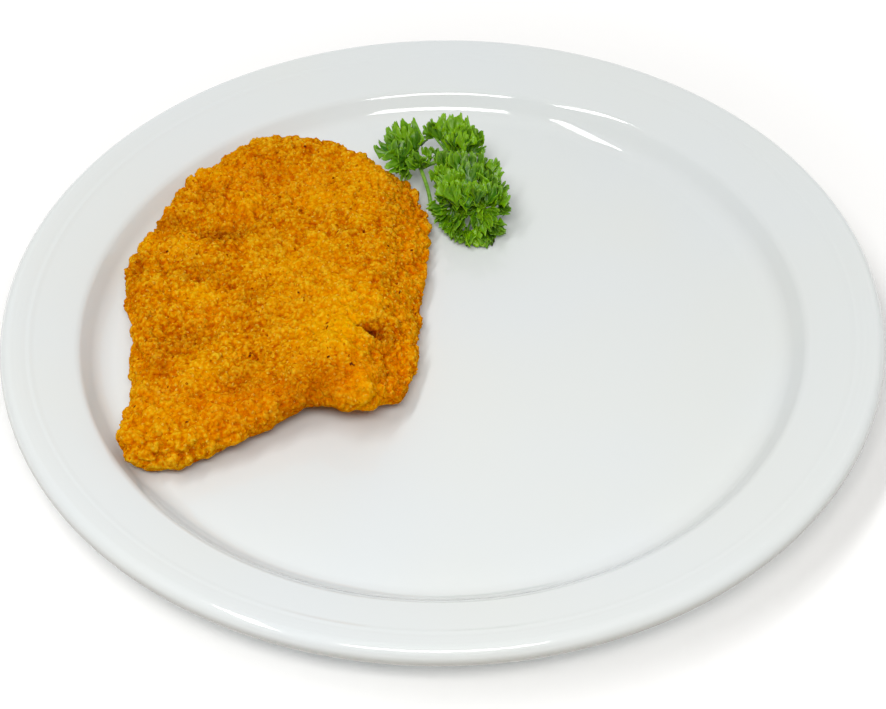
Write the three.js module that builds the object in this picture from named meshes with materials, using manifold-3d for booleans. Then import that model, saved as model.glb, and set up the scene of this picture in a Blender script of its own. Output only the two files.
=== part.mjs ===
// A breaded schnitzel with a sprig of curly parsley, served on a round porcelain plate.
//
// Millimetres, +Z up. The origin is the centre of the plate's foot ring, on the surface
// that the plate stands on. The schnitzel lies to the left (-X) and the sprig behind it (+Y).
import * as THREE from 'three';
import { mergeVertices } from 'three/addons/utils/BufferGeometryUtils.js';
import Module from 'manifold-3d';

// ---------------------------------------------------------------- driving dimensions

const TURN = 2 * Math.PI;
const DEGREE = Math.PI / 180;

// Plate: a deep-walled dinner plate with a sloping rim and a thick rolled lip.
const PLATE = {
  radius: 135,
  sides: 64,
  wellFloor: 7.5,
  wellDepth: 8,
  shoulderRadius: 113.6,
  shoulderRound: 5,
  wallSlope: 52 * DEGREE,
  filletRadius: 9,
  rimSlope: 20.5 * DEGREE,
  bodyThickness: 5,
  ringRadii: [126.2, 128.6],
  ringHeight: 0.35,
  ringHalfWidth: 0.9,
  lipWidth: 6.2,
  lipHeight: 7.2,
  lipCentreRise: 3.4,
  lipStart: 128 * DEGREE,
  lipEnd: -110 * DEGREE,
  lipSteps: 8,
  footInner: 82,
  footOuter: 86,
  footTaper: 2,
  recess: 2.5,
};

// Food lies this far clear of what carries it.
const GAP = 0.4;

// Schnitzel: outline seen from above, counter-clockwise from the middle of its right side.
const CUTLET_OUTLINE = [
  [-4, 30], [-4.5, 44.5], [-10.5, 62], [-28, 80], [-45, 85.5], [-60, 85.5], [-73, 75.5],
  [-84.5, 64], [-90, 53], [-101.5, 25], [-98.5, 6], [-96, -14], [-93.5, -34], [-94.5, -49.5],
  [-91, -60], [-79, -62], [-65, -57], [-51, -49], [-39, -42.5], [-28, -46.5],
  [-21.5, -44.5], [-11, -35.5], [-8, -18], [-5.5, 6],
];
const CUTLET = {
  centre: [-52, 12],
  thickness: 11.5,
  edgeShare: 0.42,
  leastRise: 2,
  liftCarried: 0.6,
  edgeRoll: 6,
  rightRoll: 13,
  undersideRoll: 4.5,
  lump: { size: 11, height: 1.0 },
  crumb: { size: 4.2, height: 0.55 },
  raggedEdge: { size: 2.7, height: 0.8 },
};

// How finely the schnitzel's two faces are split, and how its rings crowd to the edge.
const CUTLET_MESH = {
  rings: 20,
  pointsPerRing: 6,
  underRings: 9,
  underInset: 0.35,
  crowding: 0.86,
  outlineSamples: 240,
};

// Where the fried meat swells up or sinks: place, height and the reach of each swell.
const CUTLET_SWELLS = [
  { at: [-30, -33], rise: 3.2, reach: [15, 13] },
  { at: [-26, 8], rise: 3.4, reach: [12, 34] },
  { at: [-76, 22], rise: 1.8, reach: [11, 8] },
  { at: [-75, -25], rise: 1.7, reach: [13, 8] },
  { at: [-84, -50], rise: 1.6, reach: [12, 9] },
  { at: [-80, 58], rise: 1.6, reach: [12, 8] },
  { at: [-52, 80], rise: 1.2, reach: [18, 7] },
  { at: [-72, 39], rise: -2.4, reach: [10, 6] },
  { at: [-66, 12], rise: -1.4, reach: [7, 7] },
  { at: [-76, -12], rise: -1.8, reach: [13, 6] },
  { at: [-56, 62], rise: -1.2, reach: [16, 8] },
  { at: [-20.5, -18], rise: -3.4, reach: [3.2, 3.6] },
  { at: [-15, -31], rise: -5.5, reach: [6, 9] },
];

// Where the underside stands clear of the plate: the curled flap and the front edge.
const CUTLET_LIFTS = [
  { at: [-28, -46], rise: 8.2, reach: [12, 13] },
  { at: [-60, -52], rise: 3.2, reach: [16, 14] },
];

// Parsley: one curly sprig. Leaflets stand on hubs of a branching stem, and every spray of
// a leaflet is a stalk from its hub with one curled, toothed leaf at its end.
const PARSLEY = {
  leafThickness: 0.5,
  leafTeeth: 6,
  toothDepth: 0.26,
  stubStart: 0.05,
  stubEnd: 0.3,
  sideShortening: 0.12,
  funnelTurn: 150 * DEGREE,
  funnelTilt: 34 * DEGREE,
  ruffle: 12 * DEGREE,
  ruffleTurns: 7,
  stem: { radius: 0.65, sides: 6 },
  stalk: { radius: 0.45, sides: 4 },
  knuckleRadius: 0.9,
  seed: 97,
};
const STEMS = [
  [[-3.1, 52, 11.5], [-4.1, 56, 13.5], [-5.7, 61, 14.8], [-7.5, 66, 16], [-9, 73, 16.5]],
  [[-9, 73, 16.5], [-5, 72.5, 17.5], [-1, 73.5, 18.5], [3, 75, 19.5]],
  [[-3.1, 52, 11.5], [0, 50.5, 13], [4, 50.5, 14.5], [12, 51, 16]],
];
const LEAFLETS = [
  {
    hub: [-9, 73, 16.5],
    sprays: [
      { at: [-10.5, 77.5, 17.5], toward: [-0.42, 0.65, 0.63], length: 9.5 },
      { at: [-8.5, 75, 17.5], toward: [0.1, 0.5, 0.86], length: 8.5 },
      { at: [-13.5, 74, 17], toward: [-0.87, 0.3, 0.4], length: 8 },
      { at: [-10.5, 72, 16.5], toward: [-0.95, 0.15, 0.1], length: 8.5 },
      { at: [-8.5, 70.5, 15.5], toward: [-0.1, -0.85, -0.4], length: 6.5 },
      { at: [-4.5, 74, 17.5], toward: [0.05, 0.45, 0.9], length: 4.5 },
    ],
  },
  {
    hub: [3, 75, 19.5],
    sprays: [
      { at: [-2, 76.5, 18.5], toward: [-0.9, 0.25, 0.3], length: 8 },
      { at: [-0.5, 78, 19.5], toward: [-0.45, 0.5, 0.75], length: 9 },
      { at: [3.5, 76, 20.5], toward: [-0.1, 0.7, 0.7], length: 10 },
      { at: [5, 74.5, 20.5], toward: [0.46, 0.6, 0.66], length: 10 },
      { at: [9, 73, 19.5], toward: [0.5, 0.7, 0.5], length: 9.5 },
      { at: [10.5, 70.5, 18.5], toward: [0.85, 0.35, 0.3], length: 6.5 },
    ],
  },
  {
    hub: [4, 50.5, 14.5],
    sprays: [
      { at: [0.5, 56.5, 16.5], toward: [-0.36, 0.62, 0.7], length: 8 },
      { at: [5.5, 59, 18.5], toward: [-0.06, 0.43, 0.9], length: 9 },
      { at: [2, 47.5, 14.5], toward: [-0.94, -0.27, -0.1], length: 5.5 },
      { at: [4, 43.5, 13.5], toward: [-0.55, -0.6, -0.3], length: 8 },
      { at: [8, 41, 14], toward: [-0.1, -0.8, -0.4], length: 8.5 },
      { at: [5.5, 47, 17.5], toward: [-0.35, -0.4, 0.85], length: 9 },
    ],
  },
  {
    hub: [12, 51, 16],
    sprays: [
      { at: [12, 59.5, 18.5], toward: [0.2, 0.5, 0.85], length: 8.5 },
      { at: [16, 57.5, 17.5], toward: [0.8, 0.3, 0.5], length: 8 },
      { at: [17.5, 49, 16.5], toward: [0.98, -0.05, 0.2], length: 7 },
      { at: [15, 42.5, 14], toward: [0.6, -0.7, -0.3], length: 8.5 },
      { at: [11, 45, 18], toward: [0.1, -0.65, 0.7], length: 9 },
      { at: [14.5, 51.5, 18], toward: [0.35, -0.1, 0.9], length: 9 },
      { at: [10, 54.5, 18.5], toward: [-0.1, 0.1, 1], length: 8.5 },
    ],
  },
];

// ---------------------------------------------------------------- small helpers

const solids = await Module();
solids.setup();

// A repeatable stream of numbers from 0 to 1: a multiplier and a prime modulus.
function randomStream(seed) {
  const multiplier = 16807;
  const modulus = 2147483647;
  let state = seed;
  return () => {
    state = (state * multiplier) % modulus;
    return state / modulus;
  };
}

const NOISE_CELLS = 64;
const NOISE_SEED = 4711;
const noiseRandom = randomStream(NOISE_SEED);
const NOISE = Array.from({ length: NOISE_CELLS * NOISE_CELLS }, () => 2 * noiseRandom() - 1);

function noiseCell(column, row) {
  const wrap = (n) => ((n % NOISE_CELLS) + NOISE_CELLS) % NOISE_CELLS;
  return NOISE[wrap(row) * NOISE_CELLS + wrap(column)];
}

// Smooth bumps from -1 to 1 that repeat about every `size` millimetres.
function bumps(x, y, size) {
  const column = Math.floor(x / size);
  const row = Math.floor(y / size);
  const u = smooth(x / size - column);
  const v = smooth(y / size - row);
  const near = mix(noiseCell(column, row), noiseCell(column + 1, row), u);
  const far = mix(noiseCell(column, row + 1), noiseCell(column + 1, row + 1), u);
  return mix(near, far, v);
}

function smooth(t) {
  const s = Math.min(Math.max(t, 0), 1);
  return s * s * (3 - 2 * s);
}

function mix(a, b, t) {
  return a + (b - a) * t;
}

// Sum of bell-shaped swells at a point.
function swell(list, x, y) {
  return list.reduce((sum, { at, rise, reach }) => {
    const u = (x - at[0]) / reach[0];
    const v = (y - at[1]) / reach[1];
    return sum + rise * Math.exp(-(u * u + v * v) / 2);
  }, 0);
}

// A mesh from vertices (flat list of x, y, z) and triangles (flat list of indices).
function geometryFrom(vertices, triangles) {
  const geometry = new THREE.BufferGeometry();
  geometry.setAttribute('position', new THREE.Float32BufferAttribute(vertices, 3));
  geometry.setIndex(triangles);
  return geometry;
}

function named(name, geometry, material) {
  geometry.computeVertexNormals();
  const mesh = new THREE.Mesh(geometry, material);
  mesh.name = name;
  return mesh;
}

// Points closer than this are one point.
const WELD = 1e-4;

function solidFrom(geometry) {
  const bare = geometry.clone();
  bare.deleteAttribute('normal');
  bare.deleteAttribute('uv');
  const merged = mergeVertices(bare, WELD);
  return new solids.Manifold(new solids.Mesh({
    numProp: 3,
    vertProperties: new Float32Array(merged.attributes.position.array),
    triVerts: new Uint32Array(merged.index.array),
  }));
}

// Several closed meshes fused into one.
function fused(geometries) {
  const whole = geometries.map(solidFrom).reduce((sum, solid) => sum.add(solid));
  const { vertProperties, triVerts } = whole.getMesh();
  return geometryFrom(Array.from(vertProperties), Array.from(triVerts));
}

// ---------------------------------------------------------------- plate

const SHOULDER_HEIGHT = PLATE.wellFloor + PLATE.wellDepth;
const { wallSlope, rimSlope, filletRadius, shoulderRound } = PLATE;

// The wall between the fillet and the shoulder takes up what height is left.
const FILLET_RISE = filletRadius * (1 - Math.cos(wallSlope));
const ROUND_RISE = shoulderRound * (Math.cos(rimSlope) - Math.cos(wallSlope));
const WALL_RISE = PLATE.wellDepth - FILLET_RISE - ROUND_RISE;
const ROUND_START = PLATE.shoulderRadius
  - shoulderRound * (Math.sin(wallSlope) - Math.sin(rimSlope));
const WALL_START = ROUND_START - WALL_RISE / Math.tan(wallSlope);
const FLOOR_RADIUS = WALL_START - filletRadius * Math.sin(wallSlope);

// Height of the plate's upper surface at a radius, from the centre out to the lip.
function plateTop(r) {
  if (r <= FLOOR_RADIUS) return PLATE.wellFloor;
  if (r <= WALL_START) {
    const along = r - FLOOR_RADIUS;
    return PLATE.wellFloor + filletRadius - Math.sqrt(filletRadius ** 2 - along ** 2);
  }
  if (r <= ROUND_START) {
    return PLATE.wellFloor + FILLET_RISE + (r - WALL_START) * Math.tan(wallSlope);
  }
  return SHOULDER_HEIGHT + (r - PLATE.shoulderRadius) * Math.tan(rimSlope);
}

// Points of an arc whose slope turns from one angle to another as it runs outwards.
function slopeArc(start, radius, from, to, steps) {
  const sense = Math.sign(to - from);
  return Array.from({ length: steps }, (_, i) => {
    const slope = mix(from, to, (i + 1) / steps);
    return new THREE.Vector2(
      start.x + sense * radius * (Math.sin(slope) - Math.sin(from)),
      start.y - sense * radius * (Math.cos(slope) - Math.cos(from)),
    );
  });
}

// The well from its floor's edge to the shoulder, running outwards.
function wellProfile() {
  const floorEdge = new THREE.Vector2(FLOOR_RADIUS, PLATE.wellFloor);
  const fillet = slopeArc(floorEdge, filletRadius, 0, wallSlope, 4);
  const wallTop = new THREE.Vector2(ROUND_START, SHOULDER_HEIGHT - ROUND_RISE);
  const shoulder = slopeArc(wallTop, shoulderRound, wallSlope, rimSlope, 2);
  return [floorEdge, ...fillet, wallTop, ...shoulder];
}

// The rim's two fine raised rings, each a low three-point crest.
function ringProfile() {
  return PLATE.ringRadii.flatMap((r) => [-1, 0, 1].map((side) => new THREE.Vector2(
    r + side * PLATE.ringHalfWidth,
    plateTop(r + side * PLATE.ringHalfWidth) + (side === 0 ? PLATE.ringHeight : 0),
  )));
}

// The rolled lip, from its inner crease over the top and round to the underside.
function lipProfile() {
  const { radius, lipWidth, lipHeight, lipCentreRise, lipStart, lipEnd, lipSteps } = PLATE;
  const halfWidth = lipWidth / 2;
  return Array.from({ length: lipSteps + 1 }, (_, i) => {
    const angle = mix(lipStart, lipEnd, i / lipSteps);
    return new THREE.Vector2(
      radius - halfWidth + halfWidth * Math.cos(angle),
      SHOULDER_HEIGHT + lipCentreRise + (lipHeight / 2) * Math.sin(angle),
    );
  });
}

// The underside, from the lip in to the foot ring and across its recess to the axis.
function undersideProfile() {
  const under = (r) => plateTop(r) - PLATE.bodyThickness;
  const { footInner, footOuter, footTaper, recess } = PLATE;
  const rimEdge = PLATE.radius - PLATE.lipWidth;
  const rimRoot = PLATE.shoulderRadius + 1;
  return [
    [rimEdge, under(rimEdge)],
    [rimRoot, under(rimRoot)],
    [WALL_START + 2, under(WALL_START + 1)],
    [FLOOR_RADIUS + 4, recess + 1],
    [footOuter + 3 * footTaper, recess],
    [footOuter + footTaper, recess - 0.5],
    [footOuter, 0],
    [footInner, 0],
    [footInner - footTaper, recess],
    [0, recess],
  ].map(([r, z]) => new THREE.Vector2(r, z));
}

function plateGeometry() {
  const outline = [
    new THREE.Vector2(0, PLATE.wellFloor),
    ...wellProfile(),
    ...ringProfile(),
    ...lipProfile(),
    ...undersideProfile(),
  ].reverse();
  return new THREE.LatheGeometry(outline, PLATE.sides).rotateX(Math.PI / 2);
}

// ---------------------------------------------------------------- schnitzel

const outlineCurve = new THREE.CatmullRomCurve3(
  CUTLET_OUTLINE.map(([x, y]) => new THREE.Vector3(x, y, 0)),
  true,
  'centripetal',
);
const OUTLINE_SAMPLES = outlineCurve.getPoints(CUTLET_MESH.outlineSamples);

// Distance from a point to the schnitzel's outline.
function edgeDistance(x, y) {
  let nearest = Infinity;
  for (let i = 0; i + 1 < OUTLINE_SAMPLES.length; i += 1) {
    const a = OUTLINE_SAMPLES[i];
    const b = OUTLINE_SAMPLES[i + 1];
    const dx = b.x - a.x;
    const dy = b.y - a.y;
    const along = ((x - a.x) * dx + (y - a.y) * dy) / (dx * dx + dy * dy || 1);
    const t = Math.min(Math.max(along, 0), 1);
    nearest = Math.min(nearest, Math.hypot(a.x + t * dx - x, a.y + t * dy - y));
  }
  return nearest;
}

// How full the section is at a distance from the edge: 0 at the edge, 1 past the roll.
function rolled(distance, roll) {
  const open = 1 - Math.min(distance / roll, 1);
  return Math.sqrt(1 - open * open);
}

function undersideHeight(x, y) {
  return plateTop(Math.hypot(x, y)) + GAP + swell(CUTLET_LIFTS, x, y);
}

// The edge's middle height: a little under half way up the section.
function edgeHeight(x, y) {
  return undersideHeight(x, y) + CUTLET.thickness * CUTLET.edgeShare;
}

// The crust rolls off widely along the right side behind the flap, and tightly elsewhere.
function topRoll(x, y) {
  const rightSide = smooth((x + 36) / 24);
  const behindFlap = smooth((y + 34) / 16);
  return mix(CUTLET.edgeRoll, CUTLET.rightRoll, rightSide * behindFlap);
}

// Uneven crust: large lumps with crumbs on them.
function crustRelief(x, y) {
  const { lump, crumb } = CUTLET;
  return lump.height * bumps(x + 7, y + 3, lump.size) + crumb.height * bumps(x, y, crumb.size);
}

function cutletTop(x, y, distance) {
  const { thickness, liftCarried, leastRise } = CUTLET;
  const edge = edgeHeight(x, y);
  const carried = PLATE.wellFloor + liftCarried * swell(CUTLET_LIFTS, x, y);
  const crown = carried + thickness + swell(CUTLET_SWELLS, x, y) + crustRelief(x, y);
  return mix(edge, Math.max(crown, edge + leastRise), rolled(distance, topRoll(x, y)));
}

function cutletUnderside(x, y, distance) {
  return mix(edgeHeight(x, y), undersideHeight(x, y), rolled(distance, CUTLET.undersideRoll));
}

// One ring of points at a share of the way from the centre to the outline, its edge ragged.
function cutletRing(share, count, height) {
  const [cx, cy] = CUTLET.centre;
  const { size, height: depth } = CUTLET.raggedEdge;
  return Array.from({ length: count }, (_, i) => {
    const rim = outlineCurve.getPointAt(i / count);
    const ragged = depth * bumps(rim.x, rim.y, size) * share ** 6;
    const reach = 1 + ragged / Math.hypot(rim.x - cx, rim.y - cy);
    const x = mix(cx, rim.x, share * reach);
    const y = mix(cy, rim.y, share * reach);
    return [x, y, height(x, y, share === 1 ? 0 : edgeDistance(x, y))];
  });
}

// Triangles between two closed rings of any two lengths, seen from the outside.
function zipRings(inner, outer, flip) {
  const faces = [];
  let i = 0;
  let j = 0;
  while (i < inner.count || j < outer.count) {
    const a = inner.first + (i % inner.count);
    const b = outer.first + (j % outer.count);
    const advanceOuter = j / outer.count <= i / inner.count && j < outer.count;
    const c = advanceOuter
      ? outer.first + ((j + 1) % outer.count)
      : inner.first + ((i + 1) % inner.count);
    if (advanceOuter) j += 1;
    else i += 1;
    if (a !== b && b !== c && a !== c) faces.push(...(flip ? [a, c, b] : [a, b, c]));
  }
  return faces;
}

// Shares of the way outwards, closer together where the edge rolls over.
function ringShare(k, rings) {
  return (k / rings) ** CUTLET_MESH.crowding;
}

function cutletGeometry() {
  const vertices = [];
  const faces = [];
  const addRing = (points) => {
    const ring = { first: vertices.length / 3, count: points.length };
    points.forEach((p) => vertices.push(...p));
    return ring;
  };
  const { rings, pointsPerRing, underRings, underInset } = CUTLET_MESH;
  let inner = addRing(cutletRing(0, 1, cutletTop));
  for (let k = 1; k <= rings; k += 1) {
    const outer = addRing(cutletRing(ringShare(k, rings), k * pointsPerRing, cutletTop));
    faces.push(...zipRings(inner, outer, false));
    inner = outer;
  }
  for (let k = underRings; k >= 0; k -= 1) {
    const count = Math.max(k * 2 * pointsPerRing, 1);
    const share = ringShare(k, underRings + underInset);
    const next = addRing(cutletRing(share, count, cutletUnderside));
    faces.push(...zipRings(next, inner, true));
    inner = next;
  }
  return geometryFrom(vertices, faces);
}

// ---------------------------------------------------------------- parsley

// An axis whose level part is shorter than this has no level direction of its own.
const NEARLY_UPRIGHT = 0.05;

// A unit direction tilted from an axis, at a turn about it.
function tilted(axis, tilt, turn) {
  const along = new THREE.Vector3(...axis).normalize();
  const across = new THREE.Vector3(0, 0, 1).cross(along);
  if (across.length() < NEARLY_UPRIGHT) across.set(1, 0, 0);
  across.normalize();
  const out = along.clone().cross(across);
  const side = across.multiplyScalar(Math.cos(turn)).addScaledVector(out, Math.sin(turn));
  return along.multiplyScalar(Math.cos(tilt)).addScaledVector(side, Math.sin(tilt));
}

// Middle of a curled leaf at `u` round its open funnel (-1 to 1) and `v` out to its teeth.
function leafPoint(leaf, u, v) {
  const { leafTeeth, toothDepth, sideShortening, stubStart } = PARSLEY;
  const { funnelTurn, funnelTilt, ruffle, ruffleTurns, leafThickness } = PARSLEY;
  const notch = 0.5 + 0.5 * Math.cos((u + 1) * leafTeeth * Math.PI);
  const length = leaf.length * (1 - sideShortening * u * u) * (1 - toothDepth * notch * v);
  const tilt = funnelTilt + ruffle * v * Math.sin(u * ruffleTurns + leaf.phase);
  const direction = tilted(leaf.toward, tilt, leaf.turn + u * funnelTurn);
  const reach = mix(stubStart, 1, v) * length;
  const point = new THREE.Vector3(...leaf.at).addScaledVector(direction, reach);
  const lowest = plateTop(Math.hypot(point.x, point.y)) + GAP + leafThickness;
  point.z = Math.max(point.z, lowest);
  return point;
}

// Unit normal of the curled leaf.
function leafNormal(leaf, u, v) {
  const step = 0.02;
  const round = leafPoint(leaf, u + step, v).sub(leafPoint(leaf, u - step, v));
  const outwards = leafPoint(leaf, u, v + step).sub(leafPoint(leaf, u, v - step));
  return round.cross(outwards).normalize();
}

// Triangles between two open rows of points, each given by its first index and its columns.
function zipRows(inner, outer) {
  const faces = [];
  let i = 0;
  let j = 0;
  while (i < inner.columns || j < outer.columns) {
    const outerIsNext = (j + 0.5) / outer.columns <= (i + 0.5) / inner.columns;
    const stepOuter = i === inner.columns || (j < outer.columns && outerIsNext);
    const pair = [inner.first + i, outer.first + j];
    if (stepOuter) j += 1;
    else i += 1;
    faces.push([...pair, stepOuter ? outer.first + j : inner.first + i]);
  }
  return faces;
}

// A thin curled leaf with a toothed edge: both faces share one pattern of triangles.
function leafGeometry(leaf) {
  const { stubEnd, leafTeeth, leafThickness } = PARSLEY;
  const vertices = [];
  const addRow = (side, v, columns) => {
    const row = { first: vertices.length / 3, columns };
    for (let column = 0; column <= columns; column += 1) {
      const u = mix(-1, 1, column / columns);
      const offset = leafNormal(leaf, u, Math.max(v, stubEnd));
      offset.multiplyScalar((side * leafThickness) / 2);
      vertices.push(...leafPoint(leaf, u, v).add(offset).toArray());
    }
    return row;
  };
  const addFace = (side) => [
    addRow(side, 0, 2),
    addRow(side, stubEnd, 2),
    addRow(side, 1, 2 * leafTeeth),
  ];
  const front = addFace(1);
  const back = addFace(-1);
  const faces = [];
  const quad = (a, b, c, d) => faces.push(a, b, c, a, c, d);
  const wall = (near, far) => {
    for (let k = 0; k < near.columns; k += 1) {
      quad(near.first + k + 1, near.first + k, far.first + k, far.first + k + 1);
    }
  };
  const last = (row) => row.first + row.columns;
  wall(front[0], back[0]);
  wall(back[2], front[2]);
  [0, 1].forEach((k) => {
    zipRows(front[k], front[k + 1]).forEach(([a, b, c]) => faces.push(a, c, b));
    zipRows(back[k], back[k + 1]).forEach((face) => faces.push(...face));
    quad(front[k].first, front[k + 1].first, back[k + 1].first, back[k].first);
    quad(last(back[k]), last(back[k + 1]), last(front[k + 1]), last(front[k]));
  });
  return geometryFrom(vertices, faces);
}

// A stem of even thickness through its points, straight if it has only two.
function stemGeometry(points, { radius, sides }) {
  const section = new THREE.Shape(Array.from({ length: sides }, (_, i) => {
    const angle = (i / sides) * TURN;
    return new THREE.Vector2(radius * Math.cos(angle), radius * Math.sin(angle));
  }));
  const path = new THREE.CatmullRomCurve3(points.map((p) => new THREE.Vector3(...p)));
  const steps = points.length > 2 ? points.length * 2 : 1;
  return new THREE.ExtrudeGeometry(section, { steps, extrudePath: path });
}

// A small knob that joins what meets at the end of a stalk.
function knuckleGeometry(at) {
  return new THREE.OctahedronGeometry(PARSLEY.knuckleRadius, 0).translate(...at);
}

function leafletGeometries({ hub, sprays }, random) {
  return [
    knuckleGeometry(hub),
    ...sprays.flatMap((spray) => [
      stemGeometry([hub, spray.at], PARSLEY.stalk),
      knuckleGeometry(spray.at),
      leafGeometry({ ...spray, turn: random() * TURN, phase: random() * TURN }),
    ]),
  ];
}

function parsleyGeometry() {
  const random = randomStream(PARSLEY.seed);
  return fused([
    ...STEMS.map((points) => stemGeometry(points, PARSLEY.stem)),
    knuckleGeometry(STEMS[0][0]),
    ...LEAFLETS.flatMap((leaflet) => leafletGeometries(leaflet, random)),
  ]);
}

// ---------------------------------------------------------------- the whole

const glaze = new THREE.MeshStandardMaterial({ color: 0xe9edec, roughness: 0.12, metalness: 0 });
const crust = new THREE.MeshStandardMaterial({ color: 0xcd7e12, roughness: 0.62, metalness: 0 });
const leaf = new THREE.MeshStandardMaterial({ color: 0x4a8a22, roughness: 0.45, metalness: 0 });

const group = new THREE.Group();
group.add(
  named('plate', plateGeometry(), glaze),
  named('schnitzel', cutletGeometry(), crust),
  named('parsley', parsleyGeometry(), leaf),
);

export default group;
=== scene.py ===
"""Looks of a breaded schnitzel with a sprig of curly parsley on a porcelain dinner plate.

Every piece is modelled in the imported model's frame. Sizes in the classes are millimetres,
angles are degrees, and meshes are made in metres.
"""

import logging
import math
from dataclasses import dataclass, field
from enum import Enum

import bpy
import numpy as np
from mathutils import Matrix, Vector


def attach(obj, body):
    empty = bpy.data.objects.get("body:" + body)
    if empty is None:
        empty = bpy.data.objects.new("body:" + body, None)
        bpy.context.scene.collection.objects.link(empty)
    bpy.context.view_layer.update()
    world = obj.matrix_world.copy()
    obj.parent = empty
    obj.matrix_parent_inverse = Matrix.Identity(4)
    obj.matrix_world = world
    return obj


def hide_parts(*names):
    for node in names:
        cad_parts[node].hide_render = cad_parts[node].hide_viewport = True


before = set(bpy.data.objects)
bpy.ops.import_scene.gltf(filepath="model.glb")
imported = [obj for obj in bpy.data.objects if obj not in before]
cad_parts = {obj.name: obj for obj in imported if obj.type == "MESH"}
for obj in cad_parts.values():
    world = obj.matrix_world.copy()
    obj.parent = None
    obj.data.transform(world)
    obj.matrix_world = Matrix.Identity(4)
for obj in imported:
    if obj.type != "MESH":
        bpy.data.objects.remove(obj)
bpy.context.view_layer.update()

LOG = logging.getLogger("schnitzel")
MM = 0.001

Array = np.ndarray
Colour = tuple[float, float, float]
Point = tuple[float, float, float]


# ---------------------------------------------------------------- numbers and noise


def srgb(red: int, green: int, blue: int) -> Colour:
    """Turn a screen colour of 0 to 255 into the linear colour that shaders take.

    Args:
        red: red from 0 to 255.
        green: green from 0 to 255.
        blue: blue from 0 to 255.

    Returns:
        The linear colour.
    """
    shares = [channel / 255 for channel in (red, green, blue)]
    return tuple(s / 12.92 if s <= 0.04045 else ((s + 0.055) / 1.055) ** 2.4 for s in shares)


def smooth(share: Array | float) -> Array:
    """Ease a share from 0 to 1, and hold it beyond.

    Args:
        share: the plain share.

    Returns:
        The eased share.
    """
    held = np.clip(share, 0.0, 1.0)
    return held * held * (3 - 2 * held)


def blend(low: Array | float, high: Array | float, share: Array | float) -> Array:
    """Mix two values: low at share 0 and high at share 1.

    Args:
        low: value at share 0.
        high: value at share 1.
        share: how far from low to high.

    Returns:
        The mixed value.
    """
    return low + (high - low) * share


def unit(vectors: Array) -> Array:
    """Scale rows of vectors to length 1.

    Args:
        vectors: one vector a row.

    Returns:
        The unit vectors.
    """
    return vectors / np.maximum(np.linalg.norm(vectors, axis=-1, keepdims=True), 1e-12)


def cell_number(cells: Array, seed: int) -> Array:
    """Give each whole-number cell of space its own repeatable number from 0 to 1.

    Args:
        cells: whole-number cell coordinates, three to a row.
        seed: which set of numbers to use.

    Returns:
        One number a row.
    """
    x, y, z = (cells[..., axis].astype(np.uint64) for axis in range(3))
    mixed = x * np.uint64(73856093) ^ y * np.uint64(19349663) ^ z * np.uint64(83492791)
    mixed = mixed ^ np.uint64(seed * 2654435761)
    mixed = (mixed ^ (mixed >> np.uint64(15))) * np.uint64(2246822519)
    mixed = (mixed ^ (mixed >> np.uint64(13))) * np.uint64(3266489917)
    return ((mixed >> np.uint64(8)) & np.uint64(0xFFFFFF)).astype(float) / 0x1000000


def clouds(points: Array, size: float, seed: int) -> Array:
    """Soft noise from -1 to 1 through space.

    Args:
        points: places to read it at, one a row.
        size: how far apart its bumps are.
        seed: which noise to use.

    Returns:
        One value a row.
    """
    scaled = points / size + 4096
    corner = np.floor(scaled)
    share = smooth(scaled - corner)
    total = np.zeros(len(points))
    for step in np.ndindex(2, 2, 2):
        weight = np.prod(np.where(np.array(step) == 1, share, 1 - share), axis=-1)
        total += weight * cell_number(corner + np.array(step), seed)
    return 2 * total - 1


def grains(points: Array, size: float, seed: int) -> tuple[Array, Array]:
    """Scatter one grain centre in each cell of space and find the nearest to each point.

    Args:
        points: places to read it at, one a row.
        size: how far apart the grains are.
        seed: which scatter to use.

    Returns:
        The distance to the nearest centre in cell sizes, and that grain's own number.
    """
    scaled = points / size + 4096
    home = np.floor(scaled)
    nearest = np.full(len(points), 9.0)
    number = np.zeros(len(points))
    for step in np.ndindex(3, 3, 3):
        cell = home + np.array(step) - 1
        centre = cell + np.stack([cell_number(cell, seed + axis) for axis in (1, 2, 3)], -1)
        away = np.linalg.norm(scaled - centre, axis=-1)
        closer = away < nearest
        nearest = np.where(closer, away, nearest)
        number = np.where(closer, cell_number(cell, seed + 4), number)
    return nearest, number


class PlanarBumps:
    """The gentle bumps of the solid schnitzel, from the same repeatable table."""

    CELLS = 64
    SEED = 4711
    MULTIPLIER = 16807
    MODULUS = 2147483647

    def __init__(self) -> None:
        """Fill the table of random heights."""
        state = self.SEED
        values = []
        for _ in range(self.CELLS**2):
            state = state * self.MULTIPLIER % self.MODULUS
            values.append(2 * state / self.MODULUS - 1)
        self.table = np.array(values).reshape(self.CELLS, self.CELLS)

    def __call__(self, x: Array, y: Array, size: float) -> Array:
        """Read the bumps.

        Args:
            x: places along X.
            y: places along Y.
            size: how far apart the bumps are.

        Returns:
            Heights from -1 to 1.
        """
        column = np.floor(x / size).astype(int)
        row = np.floor(y / size).astype(int)
        u = smooth(x / size - column)
        v = smooth(y / size - row)
        wrap = self.CELLS
        near = blend(self.table[row % wrap, column % wrap], self.table[row % wrap, (column + 1) % wrap], u)
        far_row = (row + 1) % wrap
        far = blend(self.table[far_row, column % wrap], self.table[far_row, (column + 1) % wrap], u)
        return blend(near, far, v)


# ---------------------------------------------------------------- meshes and node trees


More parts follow.
